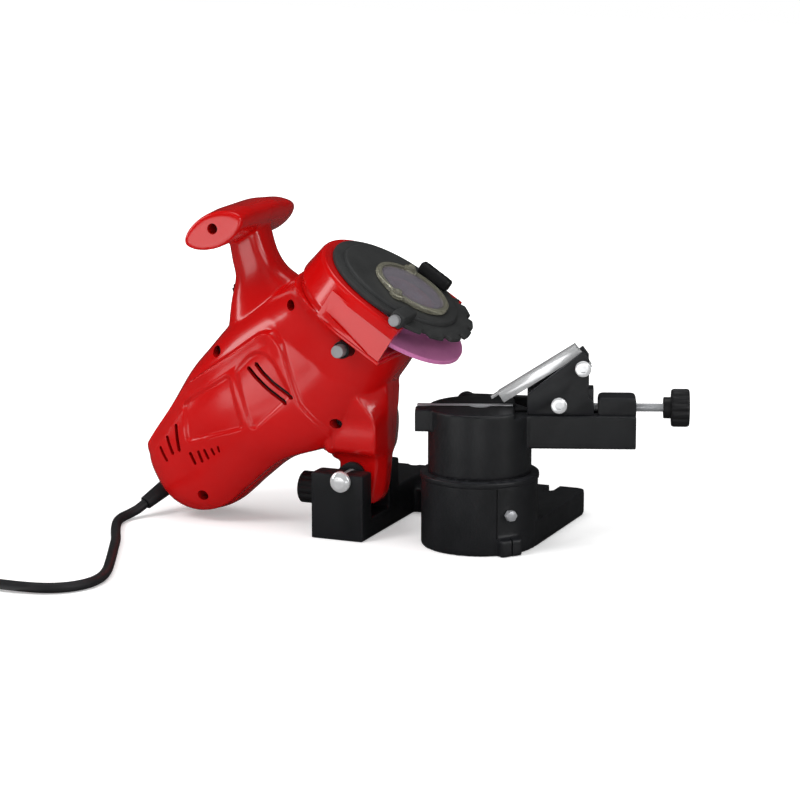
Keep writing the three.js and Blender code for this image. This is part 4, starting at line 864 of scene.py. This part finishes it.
def relief_frame():
    """At the cord's first point, with Z running back into the housing."""
    start, after = (Vector(point) for point in CORD_ROUTE_MM[:2])
    turn = Vector((0, 0, -1)).rotation_difference(after - start)
    back = (start - after).normalized() * GAP
    return moved(*(start + back)) @ turn.to_matrix().to_4x4()


def switch_place():
    x0, z0, x1, z1, _ = stations(NECK_SHARES, 1)[1]
    return x0 + (x1 - x0) / 20, z0 + (z1 - z0) / 20


def screw_seats():
    for place, share in SCREW_SHARES.items():
        yield place, *head_point(*share), SCREW.grip_seat if place == "grip" else SCREW.seat


def housing_cutters():
    hollow = joined([barrel(HOUSING_WALL), neck(HOUSING_WALL), grip(HOUSING_WALL)])
    cut(hollow, *[bar("y", SCREW.head + SCREW.boss_wall, -90, 90, x, z) for _, x, z, _ in screw_seats()])
    x, z = switch_place()
    high, wide = SWITCH.height / 2 + GAP, SWITCH.width / 2 + GAP
    cutters = [
        hollow,
        bar("y", BUSH.radius + GAP, -FAR, FAR, HINGE_X, HINGE_Z),
        bar("y", LOCK.sleeve + GAP, -FAR, -LOCK.inner, *spindle_point(*LOCK.place)),
        slab((x - SPAN, -wide, z - high), (x + SWITCH.depth + GAP, wide, z + high)),
        bar("z", RELIEF.start + 0.2, -0.5, RELIEF.length, place=relief_frame()),
        bar("z", SPINDLE.hole, SPINDLE.hole_start, SPINDLE.hole_end, place=IN_SPINDLE),
    ]
    for _, x, z, seat in screw_seats():
        cutters.append(bar("y", SCREW.head + GAP, -FAR, -seat, x, z))
    for shares, width in SLOT_SHARES:
        cutters.append(slot_cutter([head_point(*share) for share in shares], width))
    return cutters


def make_housing():
    form = remeshed(merged(barrel(0), neck(0), grip(0), foot()), *SKIN.housing)
    emboss(form)
    combine(form, lip())
    cut(form, *housing_cutters())
    rear = placed("rear", form.data.copy())
    reach, half = 2 * FAR, GAP / 2
    combine(form, slab((-reach, -reach, -reach), (reach, -half, reach)), "INTERSECT")
    combine(rear, slab((-reach, half, -reach), (reach, reach, reach)), "INTERSECT")
    stand_in(form, "housing_front")
    stand_in(rear, "housing_rear")


def make_housing_screws():
    """Domed heads with a cross in each, sunk in the housing's recesses."""
    head, (wide, slim) = SCREW.head, SCREW.cross
    share, crown = SCREW.crown
    for place, x, z, seat in screw_seats():
        base = -seat - GAP
        profile = [(0, base), (head, base), (head, base - SCREW.side), (head * share, base - crown)]
        screw = turned([*profile, (0, base - SCREW.height)], at("y", x, z), 0.5, 48)
        upright = moved(x, 0, z) @ spin(pi / 2, "X")
        arms = []
        for turn in (0, pi / 2):
            leant = upright @ spin(turn + SCREW.cross_turn, "Z")
            arms.append(slab((-wide, -slim, -base + SCREW.cross_depth), (wide, slim, -base + 4), leant))
        cut(screw, *arms)
        stand_in(screw, "housing_screw_" + place, "dark_steel")


def make_head_fittings():
    bore, outer = BOLT.radius + GAP, BLOCK.gap - GAP
    for side, name in ((-1, "front"), (1, "rear")):
        inner, step, end = (side * y for y in (outer - BUSH.length, outer - BUSH.depth, outer))
        profile = stepped((BUSH.radius, inner, step), (BUSH.flange, step, end), inner=bore)
        stand_in(ring_of(profile, at("y", HINGE_X, HINGE_Z), 0.5), "hinge_bush_" + name)
    lock = at("y", *spindle_point(*LOCK.place))
    profile = stepped((LOCK.radius, -LOCK.tip, -LOCK.step), (LOCK.radius / 2, -LOCK.step, -LOCK.inner))
    stand_in(turned(profile, lock, 0.5), "spindle_lock_button", "dull_steel")
    profile = stepped((LOCK.sleeve, -LOCK.end, -LOCK.start), inner=LOCK.radius + GAP)
    stand_in(ring_of(profile, lock, 0.9), "lock_sleeve")


def make_switch():
    x, z = switch_place()
    h, w = SWITCH.height / 2, SWITCH.width / 2
    rh, rw = SWITCH.rocker / 2, SWITCH.rocker_width / 2
    body = soften(slab((x, -w, z - h), (x + SWITCH.depth, w, z + h)), 1, 3)
    combine(body, soften(slab((x - SWITCH.bezel, -w, z - h), (x + 2, w, z + h)), 0.8, 3))
    deep = SWITCH.proud * 2
    cut(body, slab((x - 2, -rw - GAP, z - rh - GAP), (x + deep, rw + GAP, z + rh + GAP)))
    stand_in(body, "switch_body")
    face = []
    for i in range(17):
        t = i / 8 - 1
        face.append((x - SWITCH.dip - (SWITCH.proud - SWITCH.dip) * t * t, z + t * rh * 0.9))
    back = [(x + 1, z + rh * 0.86), (x + deep - GAP, z), (x + 1, z - rh * 0.86)]
    stand_in(soften(side_prism([*face, *back], -rw, rw), 0.5, 3), "switch_rocker")


def make_strain_relief():
    bore, length = CORD_RADIUS / MM + 0.05, RELIEF.length
    profile = [(bore, 0), (RELIEF.end, 0), (RELIEF.start, length), (bore, length)]
    stand_in(ring_of(profile, relief_frame(), 0.7), "strain_relief")


# The wheel, its guard and the window
FLAT = Sizes(depth=3.4, outline=[(-29, -4.5), (-29, 8), (25, 8), (25, -13)], backing=2.4, left=-32, top=10)


def drum_profile():
    """The drum wall's section as (distance from the middle line, height) points."""
    radius, mouth, back, top = DRUM.radius, DRUM.mouth, -DRUM.back, DRUM.top
    inner = radius - DRUM.wall
    (bevel, rise), (rim, drop) = DRUM.bevel, DRUM.rim
    points = [
        (inner, back), (radius - bevel, back), (radius, back + rise), (radius - DRUM.lean, top - drop),
        (radius - rim, top), (mouth, top), (mouth, top - DRUM.wall),
        ((inner + mouth) / 2, (DRUM.shoulder + top) / 2), (inner, DRUM.shoulder),
    ]
    return rounded(points, [0.5, 0.8, 1.4, 1.2, 1, 0.6, 1.5, 3, 3], 4)


def make_drum():
    """The red ring, with a flat patch on its front that has a backing behind it."""
    profile = drum_profile()
    sections = [half_round(radius) for radius, _ in profile]
    rings = [[(*section[i], height) for section, (_, height) in zip(sections, profile)] for i in range(97)]
    start, end = ([(DRUM.end, side * radius, height) for radius, height in profile] for side in (-1, 1))
    wall = soften(add("wall", skin([start, *rings, end]), IN_SPINDLE), 0.8, 2, 60)
    back = -DRUM.back
    floor = d_outline(DRUM.radius - DRUM.wall / 2, DRUM.end)
    combine(wall, prism(floor, back, back + DRUM.floor, IN_SPINDLE))
    cut(wall, bar("z", SPINDLE.floor_hole, back - PAST, 0, place=IN_SPINDLE))
    face = -DRUM.radius + FLAT.depth
    backing = [(FLAT.left, back), (FLAT.left, FLAT.top), (DRUM.end, FLAT.top), (DRUM.end, back)]
    combine(wall, side_prism(backing, face, face + FLAT.backing, IN_SPINDLE))
    cut(wall, side_prism(FLAT.outline, face - 20, face, IN_SPINDLE))
    stand_in(wall, "guard_ring")


def toothed(steps=240):
    """The cover's outline: round, with teeth along a part of it."""
    points = []
    for i in range(steps):
        degrees = 360 / steps * i - 180
        place = (degrees + COVER.span / 2) / (COVER.span / COVER.count)
        here = COVER.radius
        if abs(degrees) <= COVER.span / 2:
            here = COVER.teeth if place % 1 < COVER.share else COVER.notch
        angle = radians(degrees)
        points.append((here * cos(angle) - DRUM.shift, here * sin(angle)))
    return points


def make_cover():
    low = DRUM.top + GAP
    high = low + COVER.thickness
    top = high + COVER.rise
    plate = soften(prism(toothed(), low, high, IN_SPINDLE), 0.7, 2, 40)
    step = COVER.step
    profile = [(0, low), (step - COVER.draft, low), (step, high), (step - COVER.shoulder, top)]
    profile += [(WINDOW.rim + COVER.flat, top), (0, top)]
    combine(plate, turned(profile, IN_SPINDLE @ moved(-DRUM.shift, 0, 0), 1, 144))
    half = PIN.lug
    pin_x, pin_z = DRUM.end - half, low + half
    near = -DRUM.radius + DRUM.wall
    corner = (pin_x + half, -COVER.radius + PIN.length, low + 2 * half)
    combine(plate, soften(slab((pin_x - half, near, low), corner, IN_SPINDLE), 1.4, 3))
    hole = bar("y", PIN.radius + GAP, near - PAST, near + PIN.length + GAP, pin_x, pin_z, IN_SPINDLE)
    cut(plate, bar("z", WINDOW.ledge, 0, 40, place=IN_SPINDLE, turns=96), hole)
    stand_in(plate, "guard_cover", "guard_plastic")
    face = near - GAP
    profile = stepped((PIN.head, near - PIN.head_height - GAP, face), (PIN.radius, face, near + PIN.length))
    stand_in(turned(profile, IN_SPINDLE @ at("y", pin_x, pin_z), 0.6), "guard_pin", "dull_steel")


def make_window():
    seat = DRUM.top + GAP + COVER.thickness + COVER.rise + GAP
    radius, rim, stud = WINDOW.radius, WINDOW.rim, WINDOW.stud
    face = seat + WINDOW.height
    pieces = [turned([(0, seat), (rim + WINDOW.draft, seat), (rim, face), (0, face)], IN_SPINDLE, 0.9, 128)]
    share, top = WINDOW.stud_tip
    stud_profile = [(0, seat), (stud, seat), (stud, seat + WINDOW.stud_height), (stud * share, seat + top)]
    stud_profile.append((0, seat + top))
    for degrees in WINDOW.ears:
        angle = radians(degrees)
        place = rim * cos(angle), rim * sin(angle)
        pieces.append(bar("z", WINDOW.ear, seat, face, *place, IN_SPINDLE, 0.8))
        pieces.append(turned(stud_profile, IN_SPINDLE @ at("z", *place), 0.6, 48))
    ring = joined(pieces)
    cut(ring, bar("z", radius + GAP, seat - PAST, seat + 8, place=IN_SPINDLE, turns=128))
    stand_in(ring, "window_frame", "frame_plastic")
    edge = seat + WINDOW.pane
    dome = [(0, seat), (radius, seat), (radius, edge)]
    for i in range(1, 9):
        angle = pi / 2 * i / 8
        dome.append((radius * cos(angle), edge + WINDOW.dome * sin(angle)))
    dome[-1] = (0, dome[-1][1])
    stand_in(add("pane", lathe(dome, 128), IN_SPINDLE), "window_pane")
    half, start, high = GRIP_BLOCK.length / 2, GRIP_BLOCK.start, seat + GRIP_BLOCK.height
    end = start + GRIP_BLOCK.width
    block = soften(slab((-half, start, seat), (half, end, high), IN_SPINDLE), 2.4, 4)
    grooves = []
    for i in range(GRIP_BLOCK.grooves):
        place = half * (i - 2) / 2.6, high + 0.2
        grooves.append(bar("y", GRIP_BLOCK.groove, start - PAST, end + PAST, *place, IN_SPINDLE, turns=16))
    cut(block, *grooves)
    stand_in(block, "guard_grip")


def make_wheel():
    profile = stepped((WHEEL_SIZE.radius, -WHEEL_SIZE.half, WHEEL_SIZE.half), inner=WHEEL_SIZE.bore)
    stand_in(ring_of(profile, IN_SPINDLE, 0.5, 160), "grinding_wheel")


# The base, its hinge and its depth stop
def make_base():
    left, right, gap, half = BLOCK.left, BLOCK.right, BLOCK.gap, BLOCK.half
    cup, back, high = BASE.cup, BASE.back, BASE.height
    lug_wide, lug_high, lug_reach = BASE.lug
    to_lug = spin(BASE.lug_turn, "Z")
    corner = [(left, back - BASE.bar), (cup, back - BASE.bar), (cup, back), (left, back)]
    side = [(-cup, 0), (cup, 0), (cup, back), (-cup, back)]
    form = merged(
        prism(rounded(corner, [4, 4, 9, 9], 6), 0, BASE.flange),
        prism(rounded(side, [4, 4, 9, 4], 6), 0, BASE.flange),
        slab((left, gap, 0), (right, back - BASE.slot_depth, BASE.arm)),
        slab((left, gap, 0), (right, half, BLOCK.height)),
        slab((left, -half, 0), (right, -gap, BLOCK.height)),
        slab((left, -half, 0), (right, half, BLOCK.web)),
        slab((left, -half, 0), (left + BLOCK.wall, half, BLOCK.wall_height)),
        bar("z", cup, 0, high - BASE.rim_height / 2, turns=144),
        slab((BASE.bore + 2, -lug_wide / 2, 0), (lug_reach, lug_wide / 2, lug_high), to_lug),
    )
    remeshed(form, *SKIN.base)
    combine(form, bar("z", BASE.rim, high - BASE.rim_height, high, rounding=1, turns=144))
    seam_turn = to_lug @ spin(-asin(lug_wide / 2 / cup), "Z")
    split, seam = BASE.split / 2, BASE.seam
    stop = DEPTH.radius + GAP
    cutters = [
        bar("z", BASE.bore, BASE.floor, high + PAST, turns=144),
        bar("y", BOLT.radius + GAP, -half - PAST, half + PAST, HINGE_X, HINGE_Z),
        bar("x", stop, left - PAST, left + BLOCK.wall + PAST, -DEPTH.setback, DEPTH.height),
        slab((cup - seam, -seam, lug_high), (lug_reach, 0, high - BASE.rim_height - 0.5), seam_turn),
        slab((cup + 1.2, -split, -PAST), (lug_reach + PAST, split, lug_high + PAST), to_lug),
        bar("x", BASE.lock_bore, BASE.bore - PAST, lug_reach, 0, BASE.lock_height, to_lug),
    ]
    start, wide = back - BASE.slot_depth, BASE.slot / 2
    for x in (cup - BASE.slot_inset, left + BASE.slot_inset):
        cutters.append(slab((x - wide, start, -PAST), (x + wide, back + PAST, 60)))
        cutters.append(bar("z", wide, -PAST, 60, x, start))
    cut(form, *cutters)
    combine(form, bar("z", BASE.boss, BASE.floor - PAST, BASE.boss_top, rounding=1))
    cut(form, bar("z", BASE.pivot, BASE.floor + 0.7, BASE.boss_top + PAST))
    stand_in(form, "base_casting")


def make_hinge_bolt():
    face = -BLOCK.half - GAP
    head, high, radius = BOLT.head, BOLT.head_height, BOLT.radius
    top, end = face - high, -face + 2 * high
    share, dip = BOLT.crown
    profile = [(0, top), (head * share, top + dip), (head, top + BOLT.side), (head, face)]
    profile += [(radius, face), (radius, end), (0, end)]
    stand_in(turned(profile, at("y", HINGE_X, HINGE_Z), 0.9), "hinge_bolt")


def make_depth_stop():
    off = -DEPTH.setback, DEPTH.height
    seat = at("x", *off)
    left, right, radius = DEPTH.left, DEPTH.right, DEPTH.knob
    low, high = (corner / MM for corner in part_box("depth_screw"))
    stand_in(threaded(DEPTH.radius, low.x, high.x, seat), "depth_screw")
    split = left + (right - left) * DEPTH.ribs_end
    knob = ribbed(radius, left, split, DEPTH.ridges, radius * DEPTH.rib, seat)
    combine(knob, bar("z", radius * DEPTH.hub, left + 2, right, place=seat, rounding=1, turns=96))
    middle = left + (right - left) / 2
    bore = bar("x", DEPTH.radius + GAP, middle - GAP, right + PAST, *off)
    cut(knob, dished(left, 1, radius, DEPTH.dish, seat), bore)
    stand_in(knob, "depth_knob")


# The vise, in a frame whose X runs along the chain rail
def make_vise():
    half, deck, top, low = VISE.half, VISE.deck, VISE.top, VISE.rail_bottom
    start, end = VISE.rail
    front, rear, floor = VISE.channel
    block_start, block_half, block_top = VISE.block
    drum = bar("z", VISE.drum, VISE.seat, top, turns=144)
    drum.data.transform(IN_VISE)
    cut(drum, slab((end, -60, deck), (60, 60, top + PAST), IN_VISE))
    form = merged(
        drum,
        slab((0, -half, VISE.arm_bottom), (VISE.arm, half, deck), IN_VISE),
        slab((start, -half, low), (end, half, floor), IN_VISE),
        slab((start, -half, low), (end, front, top), IN_VISE),
        slab((start, rear, low), (end, half, deck), IN_VISE),
    )
    remeshed(form, *SKIN.vise)
    foot_z = deck - 1
    outline = [(block_start, foot_z), (VISE.arm, foot_z), (VISE.arm, block_top), (block_start, block_top)]
    block = side_prism(rounded(outline, [0, 0, 4, 4], 6), -block_half, block_half, IN_VISE)
    combine(form, soften(block, 0.8, 2, 60))
    spigot_radius, spigot_low = VISE.spigot
    combine(form, bar("z", spigot_radius, spigot_low, VISE.seat + 1, turns=144))
    hollow_radius, hollow_top = VISE.hollow
    cut(form, bar("z", hollow_radius, 0, hollow_top, turns=96))
    combine(form, bar("z", BASE.boss, BASE.boss_top + GAP, floor - 0.5))
    tongue_half, tongue_low = VISE.tongue
    bolt_radius, bolt_low = VISE.bolt_seat
    rod, screw = ADJUSTER.radius + GAP, CLAMP.screw + GAP
    near, far = VISE.slide_gap
    cut(
        form,
        slab((end + near, -half - PAST, deck), (block_start - far, half + PAST, top + PAST), IN_VISE),
        slab((start - PAST, front, floor), (end, rear, top + PAST), IN_VISE),
        slab((end, -tongue_half, tongue_low), (block_start, tongue_half, deck + PAST), IN_VISE),
        bar("z", BASE.pivot, 0, deck),
        bar("z", bolt_radius, bolt_low, top + PAST),
        bar("x", rod, block_start - PAST, VISE.arm + PAST, 0, ADJUSTER.height, IN_VISE),
        bar("y", screw, front, 60, CLAMP.along, CLAMP.height, IN_VISE),
    )
    stand_in(form, "vise_body")


def make_clamp():
    face, place, high = CLAMP.face, CLAMP.along, CLAMP.height
    end, slim, tip = face + CLAMP.thickness, CLAMP.width / 2, place + CLAMP.reach
    thick = slim * 1.3
    outline = [(place, high - thick), (tip, high - slim), (tip, high + slim), (place, high + thick)]
    form = merged(
        bar("y", CLAMP.boss, face, end, place, high, IN_VISE),
        side_prism(outline, face, end, IN_VISE),
        bar("y", slim, face, end + CLAMP.thickness, tip, high, IN_VISE),
    )
    remeshed(form, *SKIN.clamp)
    jaw_back = VISE.channel[0] + CLAMP.jaw + GAP
    combine(form, bar("y", CLAMP.screw, jaw_back, end - 1, place, high, IN_VISE))
    stand_in(form, "clamp_lever")


def cap_screw(along, height, node):
    """A bolt with a round domed head and a hexagonal socket, across the carrier."""
    face = -CARRIER.outer - GAP
    top, back = face - CARRIER.head_height, CARRIER.outer + CARRIER.head_height
    place = IN_VISE @ at("y", along, height)
    bolt = turned(stepped((CARRIER.head, top, face), (CARRIER.bolt, face, back)), place, 1)
    corners = [pi / 3 * i for i in range(6)]
    socket = [(CARRIER.socket * cos(angle), CARRIER.socket * sin(angle)) for angle in corners]
    cut(bolt, prism(socket, top - PAST, top + CARRIER.socket_depth, place))
    stand_in(bolt, node)


def make_adjuster():
    seat = IN_VISE @ at("x", 0, ADJUSTER.height)
    hub, start, knob_start = ADJUSTER.hub
    radius, end = ADJUSTER.knob, knob_start + ADJUSTER.length
    rod_end = knob_start + GAP + ADJUSTER.radius
    stand_in(threaded(ADJUSTER.radius, ADJUSTER.start, rod_end, seat), "adjust_rod")
    knob = ribbed(radius, knob_start, end, ADJUSTER.ridges, radius * ADJUSTER.rib, seat, 2)
    combine(knob, bar("z", hub, start, knob_start + 2, place=seat, rounding=0.9, turns=96))
    bore = bar("x", ADJUSTER.radius + GAP, start - PAST, rod_end + GAP, 0, ADJUSTER.height, IN_VISE)
    cut(knob, dished(end, -1, radius, ADJUSTER.dish, seat), bore)
    stand_in(knob, "adjust_knob")


def pointed(thing, place, heading):
    """Puts a camera or lamp at a place, looking along a heading."""
    thing.location = place
    thing.rotation_mode = "QUATERNION"
    thing.rotation_quaternion = heading.to_track_quat("-Z", "Y")
    return thing


def make_camera():
    data = settle(bpy.data.cameras.new("view"), sensor_width=SENSOR, lens=SENSOR * VIEW_DISTANCE / VIEW_WIDTH)
    level = cos(VIEW_ELEVATION)
    back = Vector((sin(VIEW_AZIMUTH) * level, -cos(VIEW_AZIMUTH) * level, sin(VIEW_ELEVATION)))
    bpy.context.scene.camera = pointed(placed("view", data), AIM + back * VIEW_DISTANCE, -back)


# The cord
def coil_line():
    """The coil: in along the floor, up a layer in half a turn, and out again."""
    cx, cy = COIL_CENTRE_MM
    steps = round(COIL_STEPS * COIL_LAYER_TURNS)
    climb = COIL_STEPS // 2
    draw = COIL_PITCH_MM * COIL_LAYER_TURNS / 2
    low = CORD_RADIUS / MM + COIL_LIFT_MM
    total = steps * 2 + climb
    points = []
    for i in range(total + 1):
        angle = pi / 2 + i / COIL_STEPS * 2 * pi
        rise = min(max((i - steps) / climb, 0), 1)
        inward = min(i, steps, total - i) / steps
        radius = COIL_MEAN_RADIUS_MM + draw - 2 * draw * inward
        height = low + (COIL_PITCH_MM - LAYER_GAP_MM) * rise
        points.append((cx + radius * cos(angle), cy + radius * sin(angle), height))
    return points


def tail_line(coil):
    """From the coil's end straight on, down to the plug's neck."""
    end = Vector(coil[-1])
    heading = end - Vector(coil[-2])
    heading.z = 0
    heading.normalize()
    straight = 2 * CORD_RADIUS / MM
    drop = end.z - (PLUG.height / 2 + LAYER_GAP_MM)
    points = []
    for share in (0.3, 0.65, 1, 1 + straight / COIL_TAIL_MM):
        down = min(share, 1)
        place = end + heading * COIL_TAIL_MM * share
        points.append((place.x, place.y, place.z - drop * down**2 * (3 - 2 * down)))
    return points


def tube(name, line, radius, sides=20):
    rings = []
    for i, place in enumerate(line):
        heading = (line[min(i + 1, len(line) - 1)] - line[max(i - 1, 0)]).normalized()
        side = Vector((0, 0, 1)).cross(heading).normalized()
        up = heading.cross(side)
        rings.append([place + side * radius * x + up * radius * y for x, y in around(sides)])
    return add(name, skin(rings))


def make_plug(coil, tail):
    """The plug's moulded body with its ribbed neck, and its two pins."""
    heading = Vector(tail[-1]) - Vector(coil[-1])
    place = moved(*tail[-1]) @ spin(atan2(heading.y, heading.x), "Z")
    place @= moved(PLUG.neck_length + GAP, 0, 0)
    wide, high, length = PLUG.width / 2, PLUG.height / 2, PLUG.length
    rows = []
    for i in range(PLUG.ribs):
        x = -PLUG.neck_length * (1 - i / (PLUG.ribs - 1))
        thick = PLUG.neck - (PLUG.groove if i % 2 else 0)
        rows += [(x, thick, thick, 2), (x + PLUG.rib, thick, thick, 2)]
    # Shares of the body's length, half width and half height
    body = [(0.04, 0.5, 0.68), (0.12, 0.66, 0.84), (0.25, 0.8, 0.95), (0.5, 0.9, 1)]
    body += [(0.7, 0.92, 1), (0.78, 1, 1), (0.97, 1, 1), (1, 0.95, 0.94)]
    rows += [(share * length, grow * wide, tall * high, 3.2) for share, grow, tall in body]
    rings = []
    for x, across, up, exponent in rows:
        shares = [squared(2 * pi * i / 48, exponent) for i in range(48)]
        rings.append([(x, across * y, up * z) for y, z in shares])
    plug = stand_in(add("plug_body", skin(rings), place), "plug")
    pins = []
    for side in (-1, 1):
        profile = stepped((PLUG.pin, length + 0.1, length + PLUG.pin_length))
        pins.append(turned(profile, place @ at("x", side * PLUG.pins / 2, 0), 1, 32))
    return [plug, trim(merged(*pins), "plug_pins", "base", "brass")]


def make_cord():
    coil = coil_line()
    tail = tail_line(coil)
    line = blended([*CORD_ROUTE_MM, coil[0]], 6) + blended(coil + tail, 2)[1:]
    line = [Vector(place) for place in line]
    cord = tube("mains_cord", line, CORD_RADIUS / MM)
    smooth(cord, 60)
    cord.data.materials.append(LOOKS["cord_rubber"])
    tie = softened("cord_tie", 0.4)
    pieces = [*make_plug(coil, tail), tie]
    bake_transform(cord)
    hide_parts("cord_lead", "cord_coil")


# Floor and light. The floor's glow goes from the first share to the second between two distances in metres
LAMP_AIM = Vector((-0.1, 0, 0.1))
FLOOR_REACH = 4000
FLOOR_HEIGHTS = (-3, -0.2)
SHADE_HEIGHTS = (-0.15, -0.1)
FLOOR_GLOW = (0.28, 1, 0.35, 1.1)
WORLD_STRENGTH = 0.12


def ray_switch(tree):
    """1 for the rays that look at the background, else 0."""
    rays = made_node(tree, "LightPath", {})
    total = rays.outputs["Is Camera Ray"]
    for share in ("Is Glossy Ray", "Is Transmission Ray"):
        levels = {0: total, 1: rays.outputs[share]}
        total = made_node(tree, "Math", levels, operation="ADD", use_clamp=True).outputs["Value"]
    return total


def make_floor():
    """A pale floor that keeps the shadow near the object and turns white further out."""
    corners = [(FLOOR_REACH * x, FLOOR_REACH * y) for x, y in ((-1, -1), (1, -1), (1, 1), (-1, 1))]
    floor = prism(corners, *FLOOR_HEIGHTS)
    floor.name = "floor"
    levels = {SPECULAR: 0.0, "Emission Color": (1, 1, 1, 1)}
    material, tree, surface = shader("floor", (0.86, 0.86, 0.86), 0.9, levels)
    place = made_node(tree, "TexCoord", {}).outputs["Object"]
    reach = made_node(tree, "VectorMath", {0: place}, operation="LENGTH").outputs["Value"]
    levels = {0: spread(tree, reach, *FLOOR_GLOW), 1: ray_switch(tree)}
    white = made_node(tree, "Math", levels, operation="MULTIPLY").outputs["Value"]
    fill(tree, surface, {"Emission Strength": white})
    floor.data.materials.append(material)


def make_world():
    world = bpy.data.worlds.new("studio")
    bpy.context.scene.world = world
    world.use_nodes = True
    tree = world.node_tree
    levels = {"Color": (1, 1, 1, 1), "Strength": spread(tree, ray_switch(tree), WORLD_STRENGTH, 1)}
    fill(tree, tree.nodes["Background"], levels)


# The dark studio that only reflections show, and the part of its floor left open, in millimetres and degrees
ROOM = 3300
ROOM_WALL = 10
OPEN_START = 300
OPEN_SECTORS = [(230, 263), (284, 304)]
OPEN_STEPS = 12


def arc(radius, start, end, shift=0):
    """Points along an arc between two angles in degrees."""
    angles = [radians(start + (end - start) * i / OPEN_STEPS) for i in range(OPEN_STEPS + 1)]
    return [(radius * cos(angle) + shift, radius * sin(angle)) for angle in angles]


def make_room():
    """Dark walls, ceiling and floor for the reflections, with the white floor left open in two sectors."""
    thick = ROOM + ROOM_WALL
    profile = [(ROOM, 0), (ROOM, ROOM), (0, ROOM), (0, thick), (thick, thick), (thick, 0)]
    outline = []
    for (start, end), after in zip(OPEN_SECTORS, (OPEN_SECTORS[1][0], OPEN_SECTORS[0][0] + 360)):
        outline += arc(OPEN_START, start, end, AIM.x / MM) + arc(ROOM, end, after)
    shade = prism(outline, *SHADE_HEIGHTS)
    shade.name = "shade"
    material = shader("room", (0.05, 0.05, 0.05), 0.5, {SPECULAR: 0})[0]
    for made in (add("room", lathe(profile, 48)), shade):
        made.data.materials.append(material)
        for rays in ("camera", "diffuse", "shadow", "transmission"):
            setattr(made, "visible_" + rays, False)


def make_lights():
    """Each lamp's place, size and watts, and whether reflections show it."""
    lamps = {
        "key": ((-0.9, -1.3, 1.5), (0.7, 0.7), 20, False),
        "fill": ((1.4, -1.1, 0.9), (0.9, 0.9), 6, True),
        "left": ((-1.6, -0.7, 0.7), (0.3, 1.1), 5, True),
        "right": ((1.9, -0.4, 0.5), (0.3, 1.3), 8, True),
        "top": ((-0.1, 0.3, 1.9), (1.2, 0.8), 6, True),
        "sky": ((0, 0, 2.8), (3.6, 3.6), 60, False),
        "front": ((0.2, -2.6, 0.9), (2.6, 1.6), 22, False),
    }
    for name, (place, (wide, high), watts, reflected) in lamps.items():
        data = bpy.data.lights.new(name, "AREA")
        settle(data, shape="RECTANGLE", size=wide, size_y=high, energy=watts)
        lamp = pointed(placed(name, data), place, LAMP_AIM - Vector(place))
        lamp.visible_glossy = reflected


def dress_nodes():
    """Every node that keeps its shape gets the finish of its slot, and the stator a darker steel."""
    for name, node in nodes.items():
        node.data.materials.clear()
        node.data.materials.append(LOOKS["dark_steel" if name == "stator" else SLOT_OF[name]])
        smooth(node, 30)


bpy.context.scene.view_settings.view_transform = "Standard"
make_camera()
make_cord()
dress_nodes()
make_housing()
make_housing_screws()
make_head_fittings()
make_switch()
make_strain_relief()
make_drum()
make_cover()
make_window()
make_wheel()
softened("outer_flange", 0.5)
softened("wheel_nut", 0.6)
make_base()
make_hinge_bolt()
softened("hinge_nut", 0.7)
softened("pivot_bolt", 0.5)
softened("swivel_lock_screw", 0.4)
make_depth_stop()
make_vise()
softened("rear_jaw", 0.5)
make_clamp()
softened("carrier_front_plate", 1.1, 3)
softened("carrier_body", 1.1, 3)
cap_screw(*CARRIER.upper, "upper_bolt")
cap_screw(*CARRIER.lower, "lower_bolt")
softened("stop_plate", 0.35)
make_adjuster()
make_floor()
make_world()
make_room()
make_lights()
